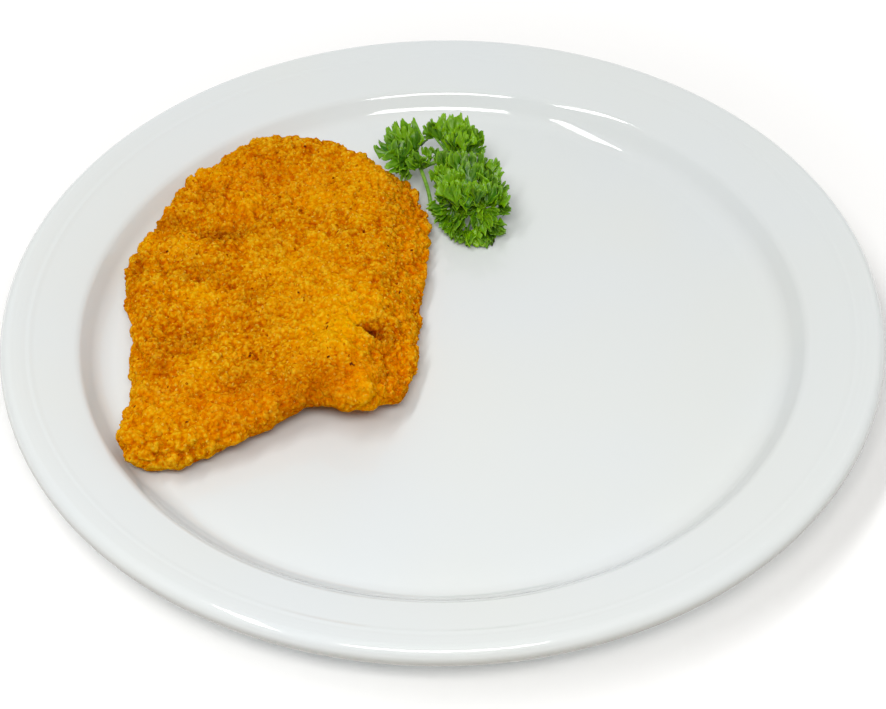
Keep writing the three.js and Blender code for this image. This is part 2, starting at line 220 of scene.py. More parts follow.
def mesh_piece(
    name: str, points: Array, faces: list, smooth_faces: bool = True, edges: tuple | list = ()
) -> bpy.types.Object:
    """Make a mesh object from points in millimetres.

    Args:
        name: the piece's name.
        points: one point a row, in millimetres.
        faces: corner indices of each face.
        smooth_faces: shade the faces smoothly.
        edges: both ends of each edge of a piece that is only lines.

    Returns:
        The object, linked into the scene.
    """
    mesh = bpy.data.meshes.new(name)
    mesh.from_pydata((np.asarray(points) * MM).tolist(), edges, faces)
    mesh.validate()
    mesh.polygons.foreach_set("use_smooth", [smooth_faces] * len(mesh.polygons))
    mesh.update()
    piece = bpy.data.objects.new(name, mesh)
    bpy.context.scene.collection.objects.link(piece)
    return piece


def store(piece: bpy.types.Object, name: str, values: Array, kind: str = "FLOAT") -> None:
    """Keep a value for each point of a mesh as a named attribute.

    Args:
        piece: the mesh object.
        name: the attribute's name.
        values: one value a point, or one vector a point.
        kind: Blender's data type for it.
    """
    attribute = piece.data.attributes.new(name, kind, "POINT")
    slot = "vector" if kind == "FLOAT_VECTOR" else "value"
    plain = np.asarray(values, np.int32 if kind == "INT" else np.float32)
    attribute.data.foreach_set(slot, plain.ravel())


def settled(piece: bpy.types.Object) -> bpy.types.Object:
    """Turn what an object's modifiers make into its own plain mesh.

    Args:
        piece: the object with live modifiers.

    Returns:
        The same object, without modifiers.
    """
    graph = bpy.context.evaluated_depsgraph_get()
    made = bpy.data.meshes.new_from_object(
        piece.evaluated_get(graph), preserve_all_data_layers=True, depsgraph=graph
    )
    piece.modifiers.clear()
    piece.data = made
    made.name = piece.name
    return piece


def place(piece: bpy.types.Object, slot: str, *nodes: str) -> None:
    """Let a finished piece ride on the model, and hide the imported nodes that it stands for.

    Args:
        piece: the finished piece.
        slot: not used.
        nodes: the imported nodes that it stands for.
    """
    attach(piece, "root")
    if nodes:
        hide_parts(*nodes)
    LOG.info("%s: %d faces", piece.name, len(piece.data.polygons))


class Wire:
    """One output socket of a node tree, with the arithmetic that finishes are written in."""

    def __init__(self, tree: "Tree", socket: bpy.types.NodeSocket) -> None:
        """Wrap a socket of a tree."""
        self.tree = tree
        self.socket = socket

    def math(self, operation: str, *values: "Wire | float") -> "Wire":
        """A Math node of Blender's operation of that name, with its inputs in order."""
        return self.tree.add("ShaderNodeMath", {"operation": operation}, dict(enumerate(values)))

    def __add__(self, other: "Wire | float") -> "Wire":
        """Sum."""
        return self.math("ADD", self, other)

    def __sub__(self, other: "Wire | float") -> "Wire":
        """Difference."""
        return self.math("SUBTRACT", self, other)

    def __mul__(self, other: "Wire | float") -> "Wire":
        """Product."""
        return self.math("MULTIPLY", self, other)

    def __rtruediv__(self, other: "Wire | float") -> "Wire":
        """Quotient, from the right."""
        return self.math("DIVIDE", other, self)

    def __pow__(self, other: "Wire | float") -> "Wire":
        """Power."""
        return self.math("POWER", self, other)

    def __gt__(self, other: "Wire | float") -> "Wire":
        """1 where this is the larger, else 0."""
        return self.math("GREATER_THAN", self, other)

    def clamped(self) -> "Wire":
        """This, held between 0 and 1."""
        return self.tree.add("ShaderNodeMath", {"operation": "ADD", "use_clamp": True}, {0: self, 1: 0.0})

    def ramp(self, *stops: tuple[float, Colour]) -> "Wire":
        """This value as a colour: each stop has a place from 0 to 1 and a linear colour."""
        return self.tree.add("ShaderNodeValToRGB", {"stops": stops}, {0: self})

    def spread(self, low: float, high: float) -> "Wire":
        """This, with the span from low to high stretched to 0 to 1, and held beyond."""
        ends = {"From Min": low, "From Max": high, "To Min": 0.0, "To Max": 1.0}
        return self.tree.add("ShaderNodeMapRange", {}, {"Value": self, **ends})


class Tree:
    """A node tree that is being written: a finish's or a Geometry Nodes one."""

    def __init__(self, tree: bpy.types.NodeTree) -> None:
        """Wrap a tree."""
        self.tree = tree

    def add(
        self,
        kind: str,
        settings: dict | None = None,
        inputs: dict | None = None,
        output: str | int | None = None,
    ) -> Wire:
        """Add a node of any type.

        Args:
            kind: Blender's node type.
            settings: its own settings, set first; "stops" fills a ramp.
            inputs: values or wires for its sockets, by name or index.
            output: which output to give back, by name or index, if not the first.

        Returns:
            The output.
        """
        node = self.tree.nodes.new(kind)
        for name, value in (settings or {}).items():
            if name == "stops":
                self._fill_ramp(node.color_ramp, value)
            else:
                setattr(node, name, value)
        for key, value in (inputs or {}).items():
            self.feed(self._socket(node.inputs, key), value)
        return Wire(self, self._socket(node.outputs, 0 if output is None else output))

    def feed(self, socket: bpy.types.NodeSocket, value: object) -> None:
        """Give a socket its value or link.

        Args:
            socket: the input socket.
            value: a wire, or a plain value.
        """
        if isinstance(value, Wire):
            self.tree.links.new(value.socket, socket)
        elif isinstance(value, tuple) and len(value) == 3 and socket.type == "RGBA":
            socket.default_value = (*value, 1.0)
        else:
            socket.default_value = value

    def mixed(self, share: Wire | float, first: Wire | Colour, second: Wire | Colour) -> Wire:
        """The first colour at share 0, blended into the second at share 1."""
        return self._mix("MIX", share, first, second)

    def multiplied(self, share: Wire | float, first: Wire | Colour, second: Wire | Colour) -> Wire:
        """The first colour times the second, as far as the share says."""
        return self._mix("MULTIPLY", share, first, second)

    def vectors(self, operation: str, *values: Wire | Point, **scale: Wire | float) -> Wire:
        """A Vector Math node, with its vectors in order and its Scale where it has one."""
        inputs = {**dict(enumerate(values)), **scale}
        return self.add("ShaderNodeVectorMath", {"operation": operation}, inputs)

    def attribute(self, name: str) -> Wire:
        """A named attribute of the mesh, in a finish."""
        return self.add("ShaderNodeAttribute", {"attribute_name": name}, {}, "Fac")

    def _mix(self, way: str, share: Wire | float, first: object, second: object) -> Wire:
        """Add a colour Mix node.

        Args:
            way: Blender's name of the way of mixing.
            share: the mix's factor.
            first: a colour or wire.
            second: a colour or wire.

        Returns:
            The mixed colour.
        """
        settings = {"data_type": "RGBA", "blend_type": way}
        return self.add(
            "ShaderNodeMix", settings, {"Factor": share, "A": first, "B": second}, "Result"
        )

    @staticmethod
    def _socket(sockets: object, key: str | int) -> bpy.types.NodeSocket:
        """Find a socket in use.

        Args:
            sockets: a node's inputs or outputs.
            key: its name, or its index among those in use.

        Returns:
            The socket.
        """
        usable = [s for s in sockets if s.enabled and not s.is_unavailable]
        if isinstance(key, int):
            return usable[key]
        return next(s for s in usable if s.name == key)

    @staticmethod
    def _fill_ramp(ramp: bpy.types.ColorRamp, stops: tuple) -> None:
        """Set a colour ramp's stops.

        Args:
            ramp: the ramp, with its two first stops.
            stops: place and colour of each stop.
        """
        for spare in range(len(stops) - 2):
            ramp.elements.new((spare + 1) / len(stops))
        for element, (where, colour) in zip(ramp.elements, stops):
            element.position = where
            element.color = (*colour, 1.0)


class Paint(Tree):
    """A material that is being written around one Principled shader."""

    def __init__(self, name: str) -> None:
        """Start a material with one Principled shader.

        Args:
            name: the material's name.
        """
        self.material = bpy.data.materials.new(name)
        self.material.use_nodes = True
        super().__init__(self.material.node_tree)
        self.tree.nodes.clear()
        self.shader = self.tree.nodes.new("ShaderNodeBsdfPrincipled")
        end = self.tree.nodes.new("ShaderNodeOutputMaterial")
        self.tree.links.new(self.shader.outputs[0], end.inputs["Surface"])

    def set(self, **sockets: object) -> None:
        """Set the shader's sockets; an underscore in a name stands for a space."""
        for name, value in sockets.items():
            self.feed(self.shader.inputs[name.replace("_", " ")], value)

    def place_on(self) -> Wire:
        """The place on the object, in metres."""
        return self.add("ShaderNodeTexCoord", {}, {}, "Object")

    def noise(self, size: float, detail: float = 2.0, roughness: float = 0.5) -> Wire:
        """Soft noise from 0 to 1 with patches of that size in millimetres."""
        inputs = {"Vector": self.place_on(), "Scale": 1 / (size * MM), "Detail": detail}
        return self.add("ShaderNodeTexNoise", {}, {**inputs, "Roughness": roughness}, "Fac")

    def granules(self, size: float) -> Wire:
        """Rounded granules, from 0 in the cracks between them to 1 at their tops.

        Args:
            size: how far apart they are, in millimetres.

        Returns:
            The height.
        """
        cells = {"Vector": self._bent(size, 0.7, 1.0, 0.6), "Scale": 1 / (size * MM)}
        away = self.add("ShaderNodeTexVoronoi", {}, cells, "Distance")
        return away.spread(0.85, 0.1)

    def cracks(self, size: float, width: float) -> Wire:
        """Wandering cracks between clusters: 1 in a crack, 0 away from it.

        Args:
            size: how far apart the clusters are, in millimetres.
            width: how far a crack fades, as a share of that.

        Returns:
            The cracks.
        """
        cells = {"Vector": self._bent(size, 1.0, 3.0, 1.2), "Scale": 1 / (size * MM)}
        edge = self.add("ShaderNodeTexVoronoi", {"feature": "DISTANCE_TO_EDGE"}, cells, "Distance")
        return edge.spread(width, 0.0)

    def _bent(self, size: float, pace: float, detail: float, depth: float) -> Wire:
        """The place on the object, pushed about so that cells lose their straight sides.

        Args:
            size: how far apart the cells are, in millimetres.
            pace: how many waves of the push a cell gets.
            detail: how many finer layers the push has.
            depth: how far it pushes, as a share of the size.

        Returns:
            The pushed place.
        """
        waves = {"Vector": self.place_on(), "Scale": pace / (size * MM), "Detail": detail}
        shift = self.add("ShaderNodeTexNoise", {}, waves, "Color")
        return self.vectors("ADD", self.place_on(), self.vectors("SCALE", shift, Scale=size * depth * MM))

    def bump(self, height: Wire, depth: float, strength: float = 1.0) -> Wire:
        """A height from 0 to 1 as a shading normal, for a depth in millimetres."""
        inputs = {"Height": height, "Distance": depth * MM, "Strength": strength}
        return self.add("ShaderNodeBump", {}, inputs)


class Maker(Tree):
    """A Geometry Nodes tree that is being written, and the modifier that runs it."""

    def __init__(self, name: str, **inputs: tuple[str, object]) -> None:
        """Start a tree with a geometry input and named inputs.

        Args:
            name: the tree's name.
            inputs: kind of socket and value of each further input; an underscore in a name
                stands for a space.
        """
        super().__init__(bpy.data.node_groups.new(name, "GeometryNodeTree"))
        face = self.tree.interface
        face.new_socket("Geometry", in_out="INPUT", socket_type="NodeSocketGeometry")
        face.new_socket("Geometry", in_out="OUTPUT", socket_type="NodeSocketGeometry")
        self.values = {key.replace("_", " "): value for key, (_, value) in inputs.items()}
        for key, (kind, _) in inputs.items():
            face.new_socket(key.replace("_", " "), in_out="INPUT", socket_type=f"NodeSocket{kind}")
        self.entry = self.tree.nodes.new("NodeGroupInput")
        self.exit = self.tree.nodes.new("NodeGroupOutput")

    def given(self, name: str) -> Wire:
        """One of the tree's inputs."""
        return Wire(self, self.entry.outputs[name])

    def random(self, low: Wire | float, high: Wire | float, seed: Wire | int) -> Wire:
        """A random number from low to high for each element; the seed says which draw."""
        return self.add("FunctionNodeRandomValue", {}, {"Min": low, "Max": high, "Seed": seed})

    def any_turn(self, seed: Wire | int) -> Wire:
        """A random rotation for each element, as angles; the seed says which draw."""
        ends = {"Min": (0.0, 0.0, 0.0), "Max": (math.tau, math.tau, math.tau), "Seed": seed}
        return self.add("FunctionNodeRandomValue", {"data_type": "FLOAT_VECTOR"}, ends)

    def named(self, name: str, kind: str = "FLOAT") -> Wire:
        """A named attribute of the points, of Blender's data type for it."""
        return self.add("GeometryNodeInputNamedAttribute", {"data_type": kind}, {"Name": name})

    def ruffled(self, solid: Wire, pace: Wire | float, depth: Wire) -> Wire:
        """Push a mesh about by soft noise.

        Args:
            solid: the mesh.
            pace: how many waves the noise has in a metre.
            depth: how far it pushes.

        Returns:
            The ruffled mesh.
        """
        waves = {"Vector": self.add("GeometryNodeInputPosition"), "Scale": pace, "Detail": 1.0}
        noise = self.add("ShaderNodeTexNoise", {}, waves, "Color")
        shift = self.vectors("SCALE", self.vectors("SUBTRACT", noise, (0.5, 0.5, 0.5)), Scale=depth)
        return self.add("GeometryNodeSetPosition", {}, {"Geometry": solid, "Offset": shift})

    def realized(self, placed: Wire, number: str, seed: Wire) -> Wire:
        """Give each instance a number of its own, and make real mesh of them all.

        Args:
            placed: the instances.
            number: the name of that number's attribute.
            seed: which draw.

        Returns:
            The mesh.
        """
        kept = {"Geometry": placed, "Name": number, "Value": self.random(0.0, 1.0, seed)}
        settings = {"data_type": "FLOAT", "domain": "INSTANCE"}
        placed = self.add("GeometryNodeStoreNamedAttribute", settings, kept)
        return self.add("GeometryNodeRealizeInstances", {}, {"Geometry": placed})

    def finished(self, solid: Wire) -> Wire:
        """Give a mesh the finish that the tree was given."""
        return self.add("GeometryNodeSetMaterial", {}, {"Geometry": solid, "Material": self.given("Finish")})

    def run_on(self, piece: bpy.types.Object, result: Wire) -> None:
        """End the tree with a result and hang it on an object.

        Args:
            piece: the object that gets the modifier.
            result: the geometry that the tree gives.
        """
        self.tree.links.new(result.socket, self.exit.inputs["Geometry"])
        modifier = piece.modifiers.new(self.tree.name, "NODES")
        modifier.node_group = self.tree
        for item in self.tree.interface.items_tree:
            if item.in_out == "INPUT" and item.name in self.values:
                modifier[item.identifier] = self.values[item.name]


# ---------------------------------------------------------------- finishes


@dataclass(frozen=True)
class Glaze:
    """White porcelain under a clear, very slightly wavy glaze."""

    body: Colour = srgb(219, 224, 226)
    warm_body: Colour = srgb(220, 224, 223)
    # A warm grey-brown, painted as shade on the lip's lower outer turn.
    lip_shade: Colour = srgb(104, 91, 63)
    roughness: float = 0.06
    patches: float = 60.0
    patch_edge: tuple[float, float] = (0.3, 0.7)
    waves: float = 14.0
    wave_depth: float = 0.02

    def material(self) -> bpy.types.Material:
        """Write the material.

        Returns:
            The material.
        """
        paint = Paint("glaze")
        tone = paint.noise(self.patches, 1.0).spread(*self.patch_edge)
        colour = paint.mixed(tone, self.body, self.warm_body)
        paint.set(
            # Painted shade: the lip's lower outer turn is mixed towards that warm grey-brown.
            Base_Color=paint.mixed(paint.attribute("thin_glaze"), colour, self.lip_shade),
            Roughness=self.roughness,
            IOR=1.5,
            Normal=paint.bump(paint.noise(self.waves, 1.0), self.wave_depth, 0.5),
        )
        return paint.material


@dataclass(frozen=True)
class BareClay:
    """The unglazed ring that the plate stands on."""

    body: Colour = srgb(206, 200, 190)
    dark: Colour = srgb(190, 183, 172)
    grit_size: float = 0.5
    grit_depth: float = 0.08

    def material(self) -> bpy.types.Material:
        """Write the material.

        Returns:
            The material.
        """
        paint = Paint("bare_clay")
        grit = paint.noise(self.grit_size, 3.0)
        paint.set(
            Base_Color=paint.mixed(grit, self.body, self.dark),
            Roughness=0.85,
            Normal=paint.bump(grit, self.grit_depth),
        )
        return paint.material


@dataclass(frozen=True)
class InnerGlow:
    """Light that passes through a soft body: how much of it, and how far, red farthest or green."""

    share: float
    by_colour: Colour
    reach: float

    def fill(self, paint: Paint) -> None:
        """Give the shader this glow."""
        reach = {"Subsurface_Radius": self.by_colour, "Subsurface_Scale": self.reach * MM}
        paint.set(Subsurface_Weight=self.share, **reach)


@dataclass(frozen=True)
class FryingAndShade:
    """How far each place of the crust is fried, with painted light and shade mixed in: pale, golden, brown
    or burnt.
    """

    # Colours for the listed spots: partly the crust's own fried tones, partly painted light (paler) and
    # painted shade (browner, dark brown in the small hole).
    orange: Colour = srgb(222, 112, 0)
    yellow: Colour = srgb(236, 172, 0)
    browned_and_shaded: Colour = srgb(192, 146, 100)
    scorched_and_shaded: Colour = srgb(92, 44, 16)
    orange_patches: float = 13.0
    orange_share: float = 0.2
    yellow_patches: float = 19.0
    yellow_share: float = 0.15
    patch_edge: tuple[float, float] = (0.5, 0.72)
    amber_share: float = 0.5
    paled_and_lit: float = 0.6
    cluster_size: float = 3.4
    crack_width: float = 0.16
    least_cracked: float = 0.3
    specular: float = 0.0
    roughness: float = 0.5
    glow: InnerGlow = InnerGlow(0.35, (1.0, 0.35, 0.08), 1.0)

    def patches(self, paint: Paint, size: float, share: float) -> Wire:
        """Broad soft patches of another colour, up to a share."""
        return paint.noise(size, 3.0, 0.6).spread(*self.patch_edge) * share

    def cracks(self, paint: Paint) -> Wire:
        """Painted shade in the cracks between clusters of crumbs, deeper where the place is browner."""
        deep = (paint.attribute("frying") + self.least_cracked).clamped()
        return paint.cracks(self.cluster_size, self.crack_width) * deep

    def tinted(self, paint: Paint, colour: Wire) -> Wire:
        """Tint a crumb colour by how far its place is fried, and by the light and shade painted there.

        Args:
            paint: the material that is being written.
            colour: the crumb's own colour.

        Returns:
            The tinted colour.
        """
        tone = paint.attribute("frying")
        orange = self.patches(paint, self.orange_patches, self.orange_share)
        yellow = self.patches(paint, self.yellow_patches, self.yellow_share)
        colour = paint.mixed(yellow, paint.mixed(orange, colour, self.orange), self.yellow)
        colour = paint.mixed(paint.attribute("amber") * self.amber_share, colour, self.orange)
        # Painted light and shade mixed with real fried tones: below 0 paler, above 0 browner, above 1 dark
        # brown.
        colour = paint.mixed((tone * -self.paled_and_lit).clamped(), colour, self.yellow)
        colour = paint.multiplied(tone.clamped(), colour, self.browned_and_shaded)
        return paint.mixed((tone - 1.0).clamped(), colour, self.scorched_and_shaded)

    def dress(self, paint: Paint, colour: Wire, normal: Wire) -> bpy.types.Material:
        """Give the shader its colour, sheen and the glow of light through the crumb.

        Args:
            paint: the material that is being written.
            colour: the crumb's own colour.
            normal: the shading normal.

        Returns:
            The material.
        """
        self.glow.fill(paint)
        paint.set(
            Base_Color=self.tinted(paint, colour),
            Roughness=self.roughness,
            Specular_IOR_Level=self.specular,
            Normal=normal,
        )
        return paint.material


@dataclass(frozen=True)
class FriedCrust:
    """The breadcrumb crust: golden on its crumbs and brown in the gaps between them, partly its own colour
    and partly painted shade; the tops are painted paler, with a whitish painted highlight.
    """

    # Crust colours: gap and shade are brown with painted shade for the low places between crumbs; pale is
    # for crumb tops, with a painted highlight in its blue.
    gap: Colour = srgb(154, 66, 0)
    shade: Colour = srgb(190, 94, 0)
    golden: Colour = srgb(213, 139, 0)
    pale: Colour = srgb(228, 183, 34)
    # A brown painted as shade into the cracks.
    crack: Colour = srgb(196, 132, 60)
    granule_size: float = 1.4
    grain_size: float = 0.8
    grit_size: float = 0.5
    crack_shade_share: float = 0.75
    depth: float = 0.7
    frying: FryingAndShade = FryingAndShade()

    def material(self) -> bpy.types.Material:
        """Write the material.

        Returns:
            The material.
        """
        paint = Paint("fried_crust")
        granule = paint.granules(self.granule_size)
        heap = paint.attribute("crumb_height") * 0.75 + paint.attribute("crumb_tone") * 0.15
        level = heap + granule * 0.5 + paint.noise(self.grain_size, 4.0, 0.8) * 0.85 - 0.6
        crack = self.frying.cracks(paint)
        # Painted shade and highlight: the low places between heaped crumbs darker brown, the tops paler and
        # whiter.
        colour = level.ramp(
            (0.0, self.gap), (0.25, self.shade), (0.55, self.golden), (0.95, self.pale)
        )
        # Painted shade: the cracks are darkened.
        colour = paint.multiplied(crack * self.crack_shade_share, colour, self.crack)
        rough = granule * 0.45 + paint.noise(self.grit_size, 3.0, 0.7) * 0.3 - crack * 0.5
        return self.frying.dress(paint, colour, paint.bump(rough, self.depth, 1.0))


class CrumbTone(Enum):
    """How far a loose crumb is fried: its main and its second colour; the blue in the main colours of GOLDEN
    and PALE is partly a painted sheen of fat.
    """

    # GOLDEN's and PALE's main colours carry extra blue as a painted sheen.
    GOLDEN = (srgb(222, 164, 24), srgb(205, 122, 0))
    AMBER = (srgb(202, 112, 0), srgb(190, 94, 0))
    PALE = (srgb(230, 184, 66), srgb(226, 168, 36))
    TOASTED = (srgb(176, 90, 4), srgb(150, 72, 4))


@dataclass(frozen=True)
class Crumb:
    """One kind of breadcrumb."""

    tone: CrumbTone
    # A brown painted as shade where a crumb sits low in the crust, and in the cracks.
    gap: Colour = srgb(180, 124, 70)
    grain_size: float = 0.7
    grit_size: float = 0.4
    sunk_shade_edge: tuple[float, float] = (0.6, 0.2)
    sunk_shade_share: float = 0.7
    crack_shade_share: float = 0.6
    depth: float = 0.35
    frying: FryingAndShade = FryingAndShade(glow=InnerGlow(0.25, (1.0, 0.35, 0.08), 1.0))

    def material(self) -> bpy.types.Material:
        """Write the material.

        Returns:
            The material.
        """
        paint = Paint(f"crumb_{self.tone.name.lower()}")
        main, second = self.tone.value
        each = paint.attribute("crumb_number")
        fine = paint.noise(self.grain_size, 3.0, 0.7)
        colour = paint.mixed((each * 0.7 + fine * 1.7 - 0.7).clamped(), main, second)
        # Painted shade: a crumb is darkened where it sits low in the crust.
        sunk_shade = paint.attribute("crumb_height").spread(*self.sunk_shade_edge)
        colour = paint.multiplied(sunk_shade * self.sunk_shade_share, colour, self.gap)
        # Painted shade: the cracks are darkened.
        colour = paint.multiplied(self.frying.cracks(paint) * self.crack_shade_share, colour, self.gap)
        normal = paint.bump(paint.noise(self.grit_size, 2.0), self.depth, 0.8)
        return self.frying.dress(paint, colour, normal)


@dataclass(frozen=True)
class Leaf:
    """A parsley leaf: waxy, with paler ribs and a painted glint along its rims."""

    deep: Colour = srgb(18, 60, 0)
    mid: Colour = srgb(54, 112, 0)
    light: Colour = srgb(134, 184, 8)
    rib: Colour = srgb(140, 180, 60)
    specular: float = 0.25
    patches: float = 9.0
    sheen_patches: float = 3.0
    rib_share: float = 0.35
    margin_glint_share: float = 0.5
    glow: InnerGlow = InnerGlow(0.25, (0.5, 1.0, 0.1), 0.6)
    wrinkles: float = 0.8
    wrinkle_depth: float = 0.06

    def material(self) -> bpy.types.Material:
        """Write the material.

        Returns:
            The material.
        """
        paint = Paint("parsley_leaf")
        each = paint.attribute("leaf_number")
        broad = paint.noise(self.patches, 2.0)
        level = each * 0.6 + broad * 0.6 - 0.1
        colour = level.ramp((0.05, self.deep), (0.5, self.mid), (0.95, self.light))
        colour = paint.mixed(paint.attribute("rib") * self.rib_share, colour, self.rib)
        # Painted glint: the leaf's rim is mixed towards the light green.
        colour = paint.mixed(paint.attribute("margin") * self.margin_glint_share, colour, self.light)
        self.glow.fill(paint)
        paint.set(
            Base_Color=colour,
            Roughness=paint.noise(self.sheen_patches, 2.0).spread(0.2, 0.9) * 0.22 + 0.2,
            Specular_IOR_Level=self.specular,
            Normal=paint.bump(paint.noise(self.wrinkles, 2.0), self.wrinkle_depth, 0.5),
        )
        return paint.material


@dataclass(frozen=True)
class Stalk:
    """The juicy green stems."""

    body: Colour = srgb(88, 142, 28)
    pale: Colour = srgb(136, 178, 66)
    streaks: float = 1.4
    streak_depth: float = 0.05
    glow: InnerGlow = InnerGlow(0.3, (0.5, 1.0, 0.2), 1.0)

    def material(self) -> bpy.types.Material:
        """Write the material.

        Returns:
            The material.
        """
        paint = Paint("parsley_stem")
        streak = paint.noise(self.streaks, 2.0)
        self.glow.fill(paint)
        paint.set(
            Base_Color=paint.mixed(streak.spread(0.35, 0.7), self.body, self.pale),
            Roughness=0.3,
            Normal=paint.bump(streak, self.streak_depth, 0.5),
        )
        return paint.material


@dataclass(frozen=True)
class Backdrop:
    """The plain pale floor, which glows a little away from the plate."""

    body: Colour = (0.93, 0.93, 0.93)
    glow: Colour = (0.45, 0.45, 0.45)
    near: float = 145.0
    far: float = 330.0

    def material(self) -> bpy.types.Material:
        """Write the material.

        Returns:
            The material.
        """
        paint = Paint("backdrop")
        share = paint.vectors("LENGTH", paint.place_on()).spread(self.near * MM, self.far * MM)
        paint.set(
            Base_Color=self.body,
            Roughness=0.9,
            Specular_IOR_Level=0.0,
            Emission_Color=share.ramp((0.0, (0.0, 0.0, 0.0)), (1.0, self.glow)),
            Emission_Strength=1.0,
        )
        return paint.material


# ---------------------------------------------------------------- plate


@dataclass
class Plate:
    """A deep-walled dinner plate with a sloping rim, two fine rings and a rolled lip."""

    radius: float = 135.0
    well_floor: float = 7.5
    well_depth: float = 8.0
    shoulder_radius: float = 113.6
    shoulder_round: float = 5.0
    wall_slope: float = math.radians(52)
    fillet_radius: float = 9.0
    rim_slope: float = math.radians(20.5)
    body_thickness: float = 5.0
    ring_radii: tuple[float, ...] = (126.2, 128.6)
    ring_height: float = 0.13
    ring_spread: float = 0.6
    plain_rim_end: float = 123.4
    ring_rows_start: float = 123.6
    ring_row_step: float = 0.16
    easing_passes: int = 60
    easing_reach: float = 2.4
    lip_width: float = 6.2
    lip_height: float = 7.2
    lip_centre_rise: float = 3.4
    lip_start: float = math.radians(128)
    lip_end: float = math.radians(-110)
    foot_inner: float = 82.0
    foot_outer: float = 86.0
    foot_taper: float = 2.0
    recess: float = 2.5
    recess_inner: float = 20.0
    # How far up and in the lip's painted shade reaches, and its strongest share.
    lip_shade_band: float = 3.5
    lip_shade_share: float = 0.6
    sides: int = 480
    under_steps: int = 6

    def __post_init__(self) -> None:
        """Work out where the fillet, the wall and the rounded shoulder meet."""
        fillet, turn = self.fillet_radius, self.shoulder_round
        self.shoulder_height = self.well_floor + self.well_depth
        self.fillet_rise = fillet * (1 - math.cos(self.wall_slope))
        self.round_rise = turn * (math.cos(self.rim_slope) - math.cos(self.wall_slope))
        wall_rise = self.well_depth - self.fillet_rise - self.round_rise
        across = turn * (math.sin(self.wall_slope) - math.sin(self.rim_slope))
        self.round_start = self.shoulder_radius - across
        self.wall_start = self.round_start - wall_rise / math.tan(self.wall_slope)
        self.floor_radius = self.wall_start - fillet * math.sin(self.wall_slope)

    def top(self, r: Array) -> Array:
        """Height of the upper surface at a radius.

        Args:
            r: distances from the plate's axis.

        Returns:
            The heights.
        """
        r = np.asarray(r, float)
        along = np.clip(r - self.floor_radius, 0, self.fillet_radius)
        fillet = self.fillet_radius - np.sqrt(self.fillet_radius**2 - along**2)
        wall = self.fillet_rise + (r - self.wall_start) * math.tan(self.wall_slope)
        rim = self.well_depth + (r - self.shoulder_radius) * math.tan(self.rim_slope)
        height = np.where(r <= self.wall_start, fillet, np.where(r <= self.round_start, wall, rim))
        return self.well_floor + height

    def _slope_arc(
        self, start: tuple[float, float], radius: float, slopes: tuple[float, float], steps: int
    ) -> list[tuple[float, float]]:
        """Points of an arc whose slope turns from one angle to another.

        Args:
            start: radius and height where it starts.
            radius: the arc's own radius.
            slopes: slope at its start and at its end.
            steps: how many points it gets.

        Returns:
            The points after the start.
        """
        sense = math.copysign(1, slopes[1] - slopes[0])
        turned = [blend(*slopes, (i + 1) / steps) for i in range(steps)]
        return [
            (
                start[0] + sense * radius * (math.sin(s) - math.sin(slopes[0])),
                start[1] - sense * radius * (math.cos(s) - math.cos(slopes[0])),
            )
            for s in turned
        ]

    def _rim(self) -> list[tuple[float, float]]:
        """The rim with its two raised rings, from the shoulder out to the lip's crease.

        Returns:
            Radius and height of each point.
        """
        lip_crease = self.radius - self.lip_width / 2 + self.lip_width / 2 * math.cos(self.lip_start)
        plain = np.linspace(self.shoulder_radius + 0.8, self.plain_rim_end, 12)
        ringed = np.arange(self.ring_rows_start, lip_crease - 0.1, self.ring_row_step)
        span = np.concatenate([plain, ringed])
        rings = sum(
            self.ring_height * np.exp(-(((span - ring) / self.ring_spread) ** 2) / 2)
            for ring in self.ring_radii
        )
        return list(zip(span, self.top(span) + rings))

    def _lip(self, steps: int = 40) -> list[tuple[float, float]]:
        """The rolled lip, from its crease over the top and round to the underside.

        Args:
            steps: how many pieces the curve is cut into.

        Returns:
            Radius and height of each point.
        """
        half = self.lip_width / 2
        angles = np.linspace(self.lip_start, self.lip_end, steps + 1)
        across = self.radius - half + half * np.cos(angles)
        up = self.shoulder_height + self.lip_centre_rise + self.lip_height / 2 * np.sin(angles)
        return list(zip(across, up))

    def _underside(self) -> list[tuple[float, float]]:
        """The underside, from the lip in to the foot ring and across its recess.

        Returns:
            Radius and height of each point.
        """
        rim_edge = self.radius - self.lip_width
        rim_root = self.shoulder_radius + 1
        corners = [
            (rim_edge, float(self.top(rim_edge)) - self.body_thickness),
            (rim_root, float(self.top(rim_root)) - self.body_thickness),
            (self.wall_start + 2, float(self.top(self.wall_start + 1)) - self.body_thickness),
            (self.floor_radius + 4, self.recess + 1),
            (self.foot_outer + 3 * self.foot_taper, self.recess),
            (self.foot_outer + self.foot_taper, self.recess - 0.5),
            (self.foot_outer, 0.0),
            (self.foot_inner, 0.0),
            (self.foot_inner - self.foot_taper, self.recess),
            (self.recess_inner, self.recess),
        ]
        return [
            (blend(a[0], b[0], i / self.under_steps), blend(a[1], b[1], i / self.under_steps))
            for a, b in zip(corners, corners[1:])
            for i in range(self.under_steps)
        ]

    def profile(self) -> Array:
        """The whole section from the axis over the top and back to the axis below.

        Returns:
            Radius and height of each point.
        """
        floor_edge = (self.floor_radius, self.well_floor)
        fillet = self._slope_arc(floor_edge, self.fillet_radius, (0, self.wall_slope), 18)
        wall_top = (self.round_start, self.shoulder_height - self.round_rise)
        slopes = (self.wall_slope, self.rim_slope)
        shoulder = self._slope_arc(wall_top, self.shoulder_round, slopes, 20)
        floor = [(r, self.well_floor) for r in np.linspace(4, self.floor_radius - 3, 10)]
        brim = self._eased(np.array([*self._rim(), *self._lip()]))
        return np.array([*floor, floor_edge, *fillet, wall_top, *shoulder, *brim, *self._underside()])

